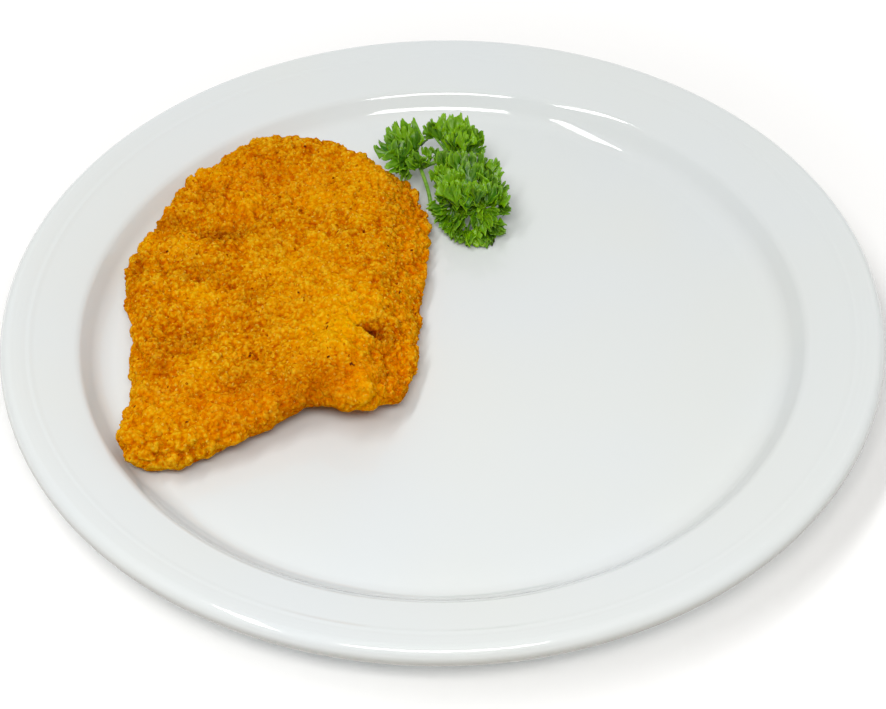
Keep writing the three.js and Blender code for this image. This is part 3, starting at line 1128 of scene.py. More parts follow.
    def _eased(self, line: Array) -> Array:
        """Round off the crease between the rim and the lip, as a thick glaze does.

        Args:
            line: the line's points.

        Returns:
            The line with its crease eased.
        """
        turn_in = np.sum((line[2:] - line[1:-1]) * (line[1:-1] - line[:-2]), 1)
        lengths = np.linalg.norm(np.diff(line, axis=0), axis=1)
        crease = line[1 + np.argmin(turn_in / (lengths[1:] * lengths[:-1]))]
        eased = line.copy()
        for _ in range(self.easing_passes):
            eased[1:-1] = (eased[:-2] + 2 * eased[1:-1] + eased[2:]) / 4
        share = np.exp(-((np.linalg.norm(line - crease, axis=1) / self.easing_reach) ** 2))
        return blend(line, eased, share[:, None])

    def _lip_underside_shade(self, points: Array) -> Array:
        """Where the lip is painted darker as shade: on its outer turn, below its middle.

        Args:
            points: the plate's points.

        Returns:
            How far the glaze is darkened there by the painted shade.
        """
        outer = smooth((np.linalg.norm(points[:, :2], axis=1) - self.radius + self.lip_shade_band) / 2.5)
        middle = self.shoulder_height + self.lip_centre_rise
        return outer * smooth((middle + self.lip_shade_band - points[:, 2]) / 5) * self.lip_shade_share

    def build(self) -> bpy.types.Object:
        """Turn the section about the axis, glaze it and leave the foot bare.

        Returns:
            The plate.
        """
        section = self.profile()
        rows = len(section)
        turns = np.linspace(0, math.tau, self.sides, endpoint=False)
        around = np.stack([np.cos(turns), np.sin(turns)], -1)
        level = np.repeat(section[:, 1:], self.sides, 0)
        flat = (section[:, None, :1] * around[None]).reshape(-1, 2)
        poles = [[0, 0, self.well_floor], [0, 0, self.recess]]
        points = np.vstack([np.hstack([flat, level]), poles])
        top_pole, low_pole = rows * self.sides, rows * self.sides + 1
        faces = []
        for side in range(self.sides):
            far = (side + 1) % self.sides
            last = (rows - 1) * self.sides
            faces.append((top_pole, side, far))
            faces.append((low_pole, last + far, last + side))
            for row in range(rows - 1):
                near, out = row * self.sides, (row + 1) * self.sides
                faces.append((near + side, out + side, out + far, near + far))
        plate = mesh_piece("plate_porcelain", points, faces)
        # The lip's painted shade, as a share for each point.
        store(plate, "thin_glaze", self._lip_underside_shade(points))
        plate.data.materials.append(Glaze().material())
        plate.data.materials.append(BareClay().material())
        foot_height = 0.05 * MM
        for face in plate.data.polygons:
            if face.center.z < foot_height:
                face.material_index = 1
        return plate


# ---------------------------------------------------------------- schnitzel


@dataclass(frozen=True)
class Swell:
    """A bell-shaped rise or hollow: its place, height and reach."""

    at: tuple[float, float]
    rise: float
    reach: tuple[float, float]

    def __call__(self, xy: Array) -> Array:
        """Its height at each point."""
        away = (xy - np.array(self.at)) / np.array(self.reach)
        return self.rise * np.exp(-np.sum(away**2, -1) / 2)


@dataclass(frozen=True)
class CrumbLayer:
    """Crumbs of one size in the crust: spacing, height, share of the look, and which scatter."""

    size: float
    rise: float
    weight: float
    seed: int


@dataclass
class Schnitzel:
    """One fried cutlet: a flat cut of meat, swollen and curled, under a breadcrumb crust."""

    plate: Plate
    gap: float = 0.4
    centre: tuple[float, float] = (-52.0, 12.0)
    thickness: float = 11.5
    edge_share: float = 0.42
    least_rise: float = 2.0
    lift_carried: float = 0.6
    edge_roll: float = 6.0
    right_roll: float = 8.0
    right_start: tuple[float, float] = (-36.0, -34.0)
    right_span: tuple[float, float] = (24.0, 16.0)
    ridge_fall: float = 0.34
    ridge_start: float = -18.0
    ridge_ease: float = 14.0
    flap_softness: float = 0.9
    flap_fade: float = 9.0
    underside_roll: float = 4.5
    rim_points: int = 1000
    inner_rings: int = 132
    roll_rings: int = 26
    under_roll_rings: int = 11
    under_rings: int = 26
    roll_share: float = 0.11
    under_thinning: float = 0.09
    least_density: float = 0.25
    least_sides: int = 6
    floor_gap: float = 0.1
    outline: tuple[tuple[float, float], ...] = (
        (-4, 30), (-4.5, 44.5), (-10.5, 61.5), (-19, 68.5), (-30, 77.5), (-45, 84.5), (-60, 85.5),
        (-73, 74.5), (-84.5, 64), (-90, 53), (-100.5, 24.5), (-97.5, 5), (-95, -14), (-93, -35),
        (-94.5, -49.5), (-91, -60), (-79, -62), (-65, -57), (-51, -49), (-39, -42.5),
        (-28, -46.5), (-21.5, -44.5), (-11, -35.5), (-8, -18), (-5.5, 6),
    )
    swells: tuple[Swell, ...] = (
        Swell((-30, -33), 3.2, (15, 13)), Swell((-26, 8), 3.4, (12, 34)),
        Swell((-76, 22), 1.8, (11, 8)), Swell((-75, -25), 1.7, (13, 8)),
        Swell((-84, -50), 1.6, (12, 9)), Swell((-80, 58), 1.6, (12, 8)),
        Swell((-52, 80), 1.2, (18, 7)), Swell((-72, 39), -2.4, (10, 6)),
        Swell((-66, 12), -1.4, (7, 7)), Swell((-76, -12), -1.8, (13, 6)),
        Swell((-56, 62), -1.2, (16, 8)), Swell((-20.3, -15.5), -2.8, (2.8, 2.8)),
        Swell((-22.6, -15.6), -2.5, (1.4, 1.3)), Swell((-15, -31), -5.5, (6, 9)),
        Swell((-21.5, -39), 2.4, (3, 4)), Swell((-28, -5), 1.2, (9, 8)),
        Swell((-35, -17), 1.0, (7, 7)), Swell((-30, -24), 1.2, (7, 5)),
        Swell((-71, 36), -1.0, (5, 4)), Swell((-81, -19), -1.2, (4, 4)),
        Swell((-59, -37), -1.0, (3, 6)), Swell((-73, -32), 1.2, (6, 6)),
        Swell((-90, 40.5), -1.6, (5, 2.5)),
    )
    ambers: tuple[Swell, ...] = (
        Swell((-23, -38), 0.8, (10, 6)), Swell((-12, -30), 0.3, (5, 9)),
        Swell((-58, -46), 0.6, (14, 6)), Swell((-9, 30), 0.4, (4, 25)),
        Swell((-60, 60), 0.4, (14, 9)), Swell((-86, -30), 0.2, (6, 16)),
    )
    # Listed spots paler or browner than the rest: partly the crust's own fried tones, partly painted light
    # (the flap's tip painted paler) and painted shade (hollows browner, the small hole dark brown).
    tones: tuple[Swell, ...] = (
        Swell((-20, -15), 0.5, (2.6, 2.6)), Swell((-22.6, -15.6), 1.9, (1.4, 1.3)),
        Swell((-17.5, -17), 0.25, (2, 3)), Swell((-27, -14), -0.35, (3, 4)),
        Swell((-13, -25), -0.3, (4, 4)), Swell((-21, -41.5), -0.75, (5, 4.5)),
        Swell((-71.5, 32), 0.55, (4.5, 3)), Swell((-31, -26), -0.35, (6, 4)),
        Swell((-71, 36), 0.35, (5, 4)), Swell((-76.5, 51), 0.25, (3, 3)),
        Swell((-87, 31), 0.2, (4, 3)), Swell((-90, 41), 0.45, (5, 2.5)),
        Swell((-76, 13.5), 0.25, (8, 3)), Swell((-57, 3.5), 0.2, (4, 3)),
        Swell((-30, 29.5), 0.2, (4, 2)), Swell((-16.5, 9.5), 0.2, (3, 3)),
        Swell((-12, 41), 0.05, (5, 16)), Swell((-42, -42), 0.25, (6, 4)),
        Swell((-26, -38), 0.35, (8, 6)), Swell((-58.5, -37), 0.25, (3.5, 7)),
        Swell((-81, -19), 0.35, (4, 4)), Swell((-85.5, -28.5), 0.3, (3.5, 3.5)),
        Swell((-71, -12), 0.2, (10, 2.5)), Swell((-96.5, 14), 0.3, (3, 8)),
        Swell((-11.5, -41), 0.3, (6, 4)), Swell((-13, -26), 0.2, (4, 5)),
        Swell((-63, 50.5), -0.3, (4, 4)), Swell((-77, 63), -0.25, (6, 4)),
        Swell((-41, 47.5), -0.4, (3, 3)), Swell((-39, 26), -0.4, (3, 3)),
        Swell((-25.5, 58), -0.35, (4, 16)), Swell((-28, -4), -0.45, (6, 8)),
        Swell((-35, -17.5), -0.5, (7, 5)), Swell((-41, 5), -0.2, (6, 6)),
        Swell((-75, 4), -0.35, (7, 3.5)), Swell((-73.5, -32), -0.3, (5, 5)),
        Swell((-83, -50), -0.25, (7, 6)), Swell((-95, 28), -0.3, (3, 4)),
        Swell((-80, 28), -0.25, (4, 3)), Swell((-51, 15), -0.2, (6, 4)),
    )
    nubs: tuple[Swell, ...] = (
        Swell((-97, 30), -2.4, (3.5, 4)), Swell((-95, 40), -1.6, (3.5, 4)),
        Swell((-90, 51), -2.2, (3, 3)), Swell((-101, 20), 0.9, (3, 3)),
        Swell((-99, 7), 1.2, (3, 4)), Swell((-92, -41), -1.9, (3.5, 4)),
        Swell((-73, 76), -0.4, (4, 3)), Swell((-69, 81), 1.0, (4, 3)),
        Swell((-52, 87), 0.6, (5, 4)), Swell((-35.3, 81), 0.9, (1.2, 3)),
        Swell((-5, 12), -0.8, (4, 12)), Swell((-21.5, -46.5), 1.4, (1.6, 2.5)),
        Swell((-16.5, -43), -1.2, (2, 3)),
    )
    lifts: tuple[Swell, ...] = (
        Swell((-28, -46), 8.2, (12, 13)), Swell((-60, -52), 3.2, (16, 14)),
    )
    specks: tuple[tuple[float, float], ...] = (
        (-35.5, 60), (-31, 32.5), (-33, 29.5), (-24.5, 29.5), (-10, 25), (-17, 23), (-44.5, 2.5),
        (-13, 4), (-7.5, 0), (-35, -14.5), (-33.5, -28), (-27.5, -30.5), (-45.5, 75), (-8.5, 48),
        (-84, 32), (-84.4, 31.2), (-87.5, 24), (-81, -37.5), (-73, 60.5), (-58, -24), (-57.6, -23),
        (-90, -44), (-82, -50), (-33.3, -31.4), (-26.7, -34.6), (-26.2, -35), (-34.8, -17), (-74, -52),
    )
    # How strongly the listed spots count, their painted light and shade included.
    fry_and_shade_strength: float = 1.15
    scorch: float = 3.0
    scorched_points: int = 2
    layers: tuple[CrumbLayer, ...] = (
        CrumbLayer(6.5, 2.2, 0.18, 51),
        CrumbLayer(3.4, 1.9, 0.25, 71),
        CrumbLayer(2.0, 1.0, 0.32, 21),
        CrumbLayer(1.2, 0.45, 0.25, 31),
    )
    heap_top: float = 0.3
    heap_foot: float = 0.35
    crumb_bend: float = 1.1
    broad_bumps: float = 11.0
    fine_bumps: float = 4.2
    fine_bump_share: float = 0.55
    rim_crumbs: float = 2.7
    rim_crumb_reach: float = 0.85
    rim_lumps: float = 7.5
    rim_lump_reach: float = 0.6
    rim_lumps_end: float = -20.0
    rim_lumps_ease: float = 30.0
    rim_only: int = 6
    flap_edge: tuple[tuple[float, float, float], ...] = (
        (-48, -18.2, 4.2), (-46, -17.9, 4.2), (-36, -16.8, 3.9),
        (-26, -17.5, 2.8), (-18, -19.2, 1.0), (-12, -20, 0.0),
    )
    ridge: tuple[tuple[float, float], ...] = (
        (-14, -19), (5, -19.5), (25, -19.5), (50, -20.5), (72, -24),
    )
    bumps: PlanarBumps = field(default_factory=PlanarBumps)

    def __post_init__(self) -> None:
        """Trace the outline once."""
        self.traced = self._outline_curve(40)
        steps = np.linalg.norm(np.diff(self.traced, axis=0), axis=1)
        self.run = np.concatenate([[0], np.cumsum(steps)])

    def _outline_curve(self, steps: int) -> Array:
        """Follow a centripetal spline through the outline's points.

        Args:
            steps: points between two of the outline's.

        Returns:
            A closed row of points, the first one again at its end.
        """
        corners = np.array(self.outline, float)
        count = len(corners)
        share = np.linspace(0, 1, steps, endpoint=False)[:, None]
        rows = []
        for i in range(count):
            a, b, c, d = (corners[(i + k) % count] for k in (-1, 0, 1, 2))
            first, middle, last = (math.sqrt(np.linalg.norm(q - p)) for p, q in ((a, b), (b, c), (c, d)))
            start = ((b - a) / first - (c - a) / (first + middle) + (c - b) / middle) * middle
            end = ((c - b) / middle - (d - b) / (middle + last) + (d - c) / last) * middle
            cubic = 2 * b - 2 * c + start + end
            square = -3 * b + 3 * c - 2 * start - end
            rows.append(b + start * share + square * share**2 + cubic * share**3)
        return np.vstack([*rows, corners[:1]])

    def rim(self, count: int) -> Array:
        """That many points, spaced evenly along the outline."""
        where = np.arange(count) / count * self.run[-1]
        return np.stack([np.interp(where, self.run, self.traced[:, axis]) for axis in (0, 1)], -1)

    def edge_distance(self, xy: Array) -> Array:
        """Distance of each point to the outline.

        Args:
            xy: the points.

        Returns:
            The distances.
        """
        coarse = self.traced[::4]
        start, along = coarse[:-1], np.diff(coarse, axis=0)
        square = np.sum(along**2, 1)
        nearest = np.empty(len(xy))
        chunk = 4000
        for first in range(0, len(xy), chunk):
            offset = xy[first : first + chunk, None] - start[None]
            share = np.clip(np.sum(offset * along, -1) / square, 0, 1)
            away = offset - share[..., None] * along
            nearest[first : first + chunk] = np.sqrt(np.min(np.sum(away**2, -1), 1))
        return nearest

    def underside_height(self, xy: Array) -> Array:
        """Height of the underside: on the plate, or clear of it where the cutlet curls."""
        lift = sum(swell(xy) for swell in self.lifts)
        return self.plate.top(np.linalg.norm(xy, axis=-1)) + self.gap + lift

    def edge_height(self, xy: Array) -> Array:
        """Height of the edge's middle."""
        return self.underside_height(xy) + self.thickness * self.edge_share

    def top(self, xy: Array, distance: Array) -> Array:
        """Height of the upper face.

        Args:
            xy: the points.
            distance: their distances to the outline.

        Returns:
            The heights.
        """
        x, y = xy[:, 0], xy[:, 1]
        edge = self.edge_height(xy)
        relief = self.bumps(x + 7, y + 3, self.broad_bumps)
        relief = relief + self.fine_bump_share * self.bumps(x, y, self.fine_bumps)
        carried = self.plate.well_floor + self.lift_carried * sum(swell(xy) for swell in self.lifts)
        crown = carried + self.thickness + sum(swell(xy) for swell in self.swells) + relief
        crown = crown - self._flap_step(xy) - self._ridge_drop(xy)
        right = np.prod(smooth((xy - np.array(self.right_start)) / np.array(self.right_span)), 1)
        roll = blend(self.edge_roll, self.right_roll, right)
        return blend(edge, np.maximum(crown, edge + self.least_rise), self._rolled(distance, roll))

    def _flap_step(self, xy: Array) -> Array:
        """How far the crust drops beyond the curled flap's edge.

        Args:
            xy: the points.

        Returns:
            The drops.
        """
        along, across, drops = np.array(self.flap_edge).T
        beyond = xy[:, 0] - np.interp(xy[:, 1], along, across)
        depth = np.interp(xy[:, 1], along, drops)
        fade = np.exp(-((np.maximum(beyond, 0) / self.flap_fade) ** 2))
        return depth * smooth(beyond / self.flap_softness + 0.5) * fade

    def _ridge_drop(self, xy: Array) -> Array:
        """How far the upper face has dropped beyond the long ridge near its right side.

        Args:
            xy: the points.

        Returns:
            The drops.
        """
        along, across = np.array(self.ridge, float).T
        beyond = np.maximum(xy[:, 0] - np.interp(xy[:, 1], along, across), 0)
        return self.ridge_fall * beyond * smooth((xy[:, 1] - self.ridge_start) / self.ridge_ease)

    def underside(self, xy: Array, distance: Array) -> Array:
        """Height of the lower face at points of those distances to the outline."""
        share = self._rolled(distance, self.underside_roll)
        return blend(self.edge_height(xy), self.underside_height(xy), share)

    @staticmethod
    def _rolled(distance: Array, roll: Array | float) -> Array:
        """How full the section is: 0 at the edge, 1 past the roll."""
        open_share = 1 - np.minimum(distance / roll, 1)
        return np.sqrt(1 - open_share**2)

    def _ring(self, share: float, count: int, upper: bool) -> Array:
        """One ring of points of a face.

        Args:
            share: 0 at the centre, 1 at the edge.
            count: how many points it has.
            upper: on the upper face, or on the lower one.

        Returns:
            The ring's points.
        """
        middle = np.array(self.centre)
        rim = self.rim(count)
        x, y = rim[:, 0], rim[:, 1]
        lumpy = smooth((self.rim_lumps_end - x) / self.rim_lumps_ease)
        lumps = self.rim_lump_reach * self.bumps(x, y, self.rim_lumps) * lumpy
        lumps = lumps + sum(nub(rim) for nub in self.nubs)
        ragged = self.rim_crumb_reach * self.bumps(x, y, self.rim_crumbs) + lumps
        ragged = ragged * share**self.rim_only
        reach = 1 + ragged / np.linalg.norm(rim - middle, axis=1)
        xy = middle + (rim - middle) * (share * reach)[:, None]
        plain = middle + (rim - middle) * share
        distance = np.zeros(count) if share == 1 else self.edge_distance(plain)
        height = self.top(xy, distance) if upper else self.underside(xy, distance)
        return np.column_stack([xy, height])

    def _shares(self) -> tuple[list[float], list[float]]:
        """How far out each ring lies.

        Returns:
            The upper face's rings from the centre out, and the lower face's from the edge in.
        """
        inner_end = 1 - self.roll_share
        inner = [inner_end * k / self.inner_rings for k in range(1, self.inner_rings + 1)]
        turns = [math.pi / 2 * k / self.roll_rings for k in range(self.roll_rings - 1, -1, -1)]
        upper = inner + [1 - self.roll_share * (1 - math.cos(t)) for t in turns]
        steps = self.under_roll_rings
        turns = [math.pi / 2 * k / steps for k in range(1, steps + 1)]
        lower = [1 - self.roll_share * (1 - math.cos(t)) for t in turns]
        lower += [inner_end * k / self.under_rings for k in range(self.under_rings - 1, 0, -1)]
        return upper, lower

    def _count(self, share: float) -> int:
        """How many points a ring of that share of the rim's gets."""
        return max(self.least_sides, round(self.rim_points * share))

    @staticmethod
    def _zip(inner: tuple[int, int], outer: tuple[int, int]) -> list[tuple[int, int, int]]:
        """Triangles between two closed rings of any lengths.

        Args:
            inner: first index and count of the inner ring.
            outer: first index and count of the outer ring.

        Returns:
            The triangles, seen from the side on which the rings run counter-clockwise.
        """
        (first, few), (start, many) = inner, outer
        faces, i, j = [], 0, 0
        while i < few or j < many:
            a, b = first + i % few, start + j % many
            if j < many and j * few <= i * many:
                j += 1
                faces.append((a, b, start + j % many))
            else:
                i += 1
                faces.append((a, b, first + i % few))
        return [face for face in faces if len(set(face)) == 3]

    def shell(self) -> tuple[Array, list[tuple[int, int, int]]]:
        """Lay the rings of both faces and close them into one skin.

        Returns:
            The points and the triangles.
        """
        upper, lower = self._shares()
        points = [self._ring(0.0, 1, True)]
        faces = []
        ring, total = (0, 1), 1
        for share in upper:
            count = self._count(share)
            points.append(self._ring(share, count, True))
            outer = (total, count)
            faces += self._zip(ring, outer)
            ring, total = outer, total + count
        for k, share in enumerate([*lower, 0.0]):
            thinned = max(self.least_density, 1 - self.under_thinning * k)
            count = 1 if share == 0 else self._count(share * thinned)
            points.append(self._ring(share, count, False))
            inner = (total, count)
            faces += [(a, c, b) for a, b, c in self._zip(inner, ring)]
            ring, total = inner, total + count
        return np.vstack(points), faces

    def build(self) -> bpy.types.Object:
        """Make the crusted cutlet.

        Returns:
            The schnitzel without its loose crumbs.
        """
        points, faces = self.shell()
        corners = np.array(faces)
        normals = self._normals(points, corners)
        relief, crumb_height, crumb_tone = self._relief(points)
        lower = smooth((self.edge_height(points[:, :2]) - points[:, 2]) / 3)
        moved = points + normals * (relief * (1 - 0.6 * lower))[:, None]
        floor = self.plate.top(np.linalg.norm(moved[:, :2], axis=1)) + self.floor_gap
        moved[:, 2] = np.maximum(moved[:, 2], floor)
        piece = mesh_piece("schnitzel_crust", moved, faces)
        store(piece, "crumb_height", crumb_height)
        store(piece, "crumb_tone", crumb_tone)
        # How far each point is fried, with painted light and shade mixed in.
        store(piece, "frying", self._fry_and_shade(points, lower))
        store(piece, "amber", sum(amber(points[:, :2]) for amber in self.ambers))
        piece.data.materials.append(FriedCrust().material())
        return piece

    def _relief(self, points: Array) -> tuple[Array, Array, Array]:
        """Heap crumbs of every size on the skin.

        Args:
            points: the skin's points.

        Returns:
            How far each point moves out, how high it lies in its heap from 0 to 1, and its
            crumb's own tone from 0 to 1.
        """
        shift = np.stack([clouds(points, 3.4, seed) for seed in (61, 62, 63)], -1)
        bent = points + self.crumb_bend * shift
        total = 0.3 * clouds(points, 9, 11)
        shown = np.zeros(len(points))
        tones = np.zeros(len(points))
        for layer in self.layers:
            away, number = grains(bent, layer.size, layer.seed)
            heap = np.maximum(self.heap_top - away**2, -self.heap_foot)
            total += layer.rise * heap * (0.4 + 1.2 * number)
            shown += layer.weight * (heap + self.heap_foot) / (self.heap_top + self.heap_foot)
            tones += layer.weight * number
        return total, np.clip(shown, 0, 1), tones

    def _fry_and_shade(self, points: Array, lower: Array) -> Array:
        """How far the crust is fried at each point, with painted light and shade mixed in.

        Args:
            points: the skin's points.
            lower: how far below the edge's middle each one is.

        Returns:
            Below 0 where it is paler than golden, 1 where brown and 2 where burnt; painted light and shade
            are part of these values.
        """
        total = 0.2 * lower + 0.12 * clouds(points, 9, 41)
        # The listed spots: real fried tones, and painted light and shade.
        total += self.fry_and_shade_strength * sum(tone(points[:, :2]) for tone in self.tones)
        upper = np.flatnonzero(lower == 0)
        for speck in self.specks:
            away = np.linalg.norm(points[upper, :2] - speck, axis=1)
            total[upper[np.argsort(away)[: self.scorched_points]]] += self.scorch
        return total

    @staticmethod
    def _normals(points: Array, corners: Array) -> Array:
        """Outward normal at each point.

        Args:
            points: the skin's points.
            corners: its triangles.

        Returns:
            The unit normals.
        """
        a, b, c = (points[corners[:, k]] for k in range(3))
        face = np.cross(b - a, c - a)
        total = np.zeros_like(points)
        for k in range(3):
            for axis in range(3):
                total[:, axis] += np.bincount(corners[:, k], face[:, axis], len(points))
        return unit(total)


@dataclass
class CrumbScatter:
    """Loose crumbs of one kind, caught in the crust."""

    finish: Crumb
    spacing: float
    smallest: float
    largest: float
    seed: int
    share: float = 1.0
    flat: float = 0.75
    warp: float = 0.6
    warps_a_metre: float = 1400.0
    sink: float = 0.12
    slimmest: float = 0.7
    packing: float = 0.7
    least_facing: float = -0.2

    def build(self, crust: bpy.types.Object) -> bpy.types.Object:
        """Scatter the crumbs over the upper crust.

        Args:
            crust: the crusted cutlet.

        Returns:
            The crumbs as one piece.
        """
        name = f"crumbs_{self.finish.tone.name.lower()}"
        maker = Maker(
            name,
            Spacing=("Float", self.spacing * MM),
            Share=("Float", self.share),
            Smallest=("Float", self.smallest * MM / 2),
            Largest=("Float", self.largest * MM / 2),
            Warp=("Float", self.warp * MM),
            Sink=("Float", -self.sink * MM),
            Seed=("Int", self.seed),
            Finish=("Material", self.finish.material()),
        )
        crumbs = self._scattered(maker)
        piece = bpy.data.objects.new(name, crust.data.copy())
        bpy.context.scene.collection.objects.link(piece)
        maker.run_on(piece, crumbs)
        return settled(piece)

    def _scattered(self, maker: Maker) -> Wire:
        """Write the scatter's nodes.

        Args:
            maker: the tree to write them in.

        Returns:
            The crumbs.
        """
        seed = maker.given("Seed")
        facing = maker.add("ShaderNodeSeparateXYZ", {}, {0: maker.add("GeometryNodeInputNormal")}, "Z")
        spread = {
            "Mesh": maker.given("Geometry"),
            "Selection": facing > self.least_facing,
            "Distance Min": maker.given("Spacing"),
            "Density Max": 1 / (self.packing * (self.spacing * MM) ** 2),
            "Density Factor": maker.given("Share"),
            "Seed": seed,
        }
        way = {"distribute_method": "POISSON"}
        points = maker.add("GeometryNodeDistributePointsOnFaces", way, spread, "Points")
        normal = Wire(maker, points.socket.node.outputs["Normal"])
        step = maker.vectors("SCALE", normal, Scale=maker.given("Sink"))
        points = maker.add("GeometryNodeSetPosition", {}, {"Geometry": points, "Offset": step})
        ball = maker.add("GeometryNodeMeshIcoSphere", {}, {"Radius": 1.0, "Subdivisions": 1}, "Mesh")
        size = maker.random(maker.given("Smallest"), maker.given("Largest"), seed + 1)
        width = size * maker.random(self.slimmest, 1.0, seed + 2)
        shape = maker.add("ShaderNodeCombineXYZ", {}, {0: size, 1: width, 2: size * self.flat})
        setting = {"Points": points, "Instance": ball, "Rotation": maker.any_turn(seed + 3), "Scale": shape}
        placed = maker.add("GeometryNodeInstanceOnPoints", {}, setting)
        solid = maker.realized(placed, "crumb_number", seed + 4)
        solid = maker.ruffled(solid, self.warps_a_metre, maker.given("Warp"))
        solid = maker.add("GeometryNodeSetShadeSmooth", {}, {"Geometry": solid, "Shade Smooth": True})
        return maker.finished(solid)


# ---------------------------------------------------------------- parsley


@dataclass(frozen=True)
class Spray:
    """A stalk's end with a funnel of leaves: its place, direction and length."""

    at: Point
    toward: Point
    length: float


@dataclass(frozen=True)
class Leaflet:
    """A hub of the stem and the sprays that branch from it."""

    hub: Point
    sprays: tuple[Spray, ...]


@dataclass(frozen=True)
class LeafShape:
    """One wedge of a curly leaf, of length 1: narrow at its stalk, with channelled lobes."""

    lobes: int
    half_width: float
    notch: float
    cup: float
    curl: float
    channel: float = 0.22
    bow: float = 0.24
    stub: float = 0.05
    teeth: float = 0.07
    open_from: float = 0.4
    uneven: float = 0.1
    columns_a_lobe: int = 9
    rows: int = 5

    def mesh(self, name: str) -> bpy.types.Object:
        """Make the wedge as a thin sheet.

        Args:
            name: the template's name.

        Returns:
            The template object, in no scene.
        """
        columns = self.lobes * self.columns_a_lobe
        u, v = np.meshgrid(np.linspace(-1, 1, columns + 1), np.linspace(0, 1, self.rows + 1))
        phase = math.pi * self.lobes * (u + 1) / 2
        lobe = np.abs(np.sin(phase)) ** 0.5
        tooth = self.teeth * (1 - np.abs(np.sin(3 * phase)))
        open_share = smooth((v - self.open_from) / (1 - self.open_from))
        width = self.stub + (self.half_width - self.stub) * smooth(v * 1.1)
        x = u * width
        uneven = 1 + self.uneven * np.sin(5.3 * u + 9 * self.half_width)
        cut = (self.notch * (1 - lobe) + tooth) * open_share
        reach = v * uneven * (1 - self.bow * u**2) * (1 - cut)
        lobe_width = width / self.lobes
        lift = self.cup * u**2 * width + self.channel * (1 - lobe) * open_share * lobe_width * 2
        bend = self.curl * reach
        y = np.sin(bend) / self.curl - lift * np.sin(bend)
        z = (1 - np.cos(bend)) / self.curl + lift * np.cos(bend)
        points = np.stack([x, y, z], -1).reshape(-1, 3)
        row = columns + 1
        faces = [
            (j * row + i, j * row + i + 1, (j + 1) * row + i + 1, (j + 1) * row + i)
            for j in range(self.rows)
            for i in range(columns)
        ]
        mesh = bpy.data.meshes.new(name)
        mesh.from_pydata(points.tolist(), [], faces)
        mesh.polygons.foreach_set("use_smooth", [True] * len(faces))
        template = bpy.data.objects.new(name, mesh)
        # Where each leaf's rim gets a painted glint.
        margin = np.maximum(smooth((np.abs(u) - 0.8) / 0.2), smooth((v - 0.84) / 0.16))
        rib = lobe**8 * smooth(v * 2) + np.exp(-((u / 0.12) ** 2)) * (1 - v)
        store(template, "margin", margin.ravel())
        store(template, "rib", np.clip(rib, 0, 1).ravel())
        return template


@dataclass(frozen=True)
class LeafPatch:
    """Leaflets that grow into one another: which ones, and how many leaves fill them up."""

    name: str
    leaflets: tuple[int, ...]
    fillers: int
    seed: int


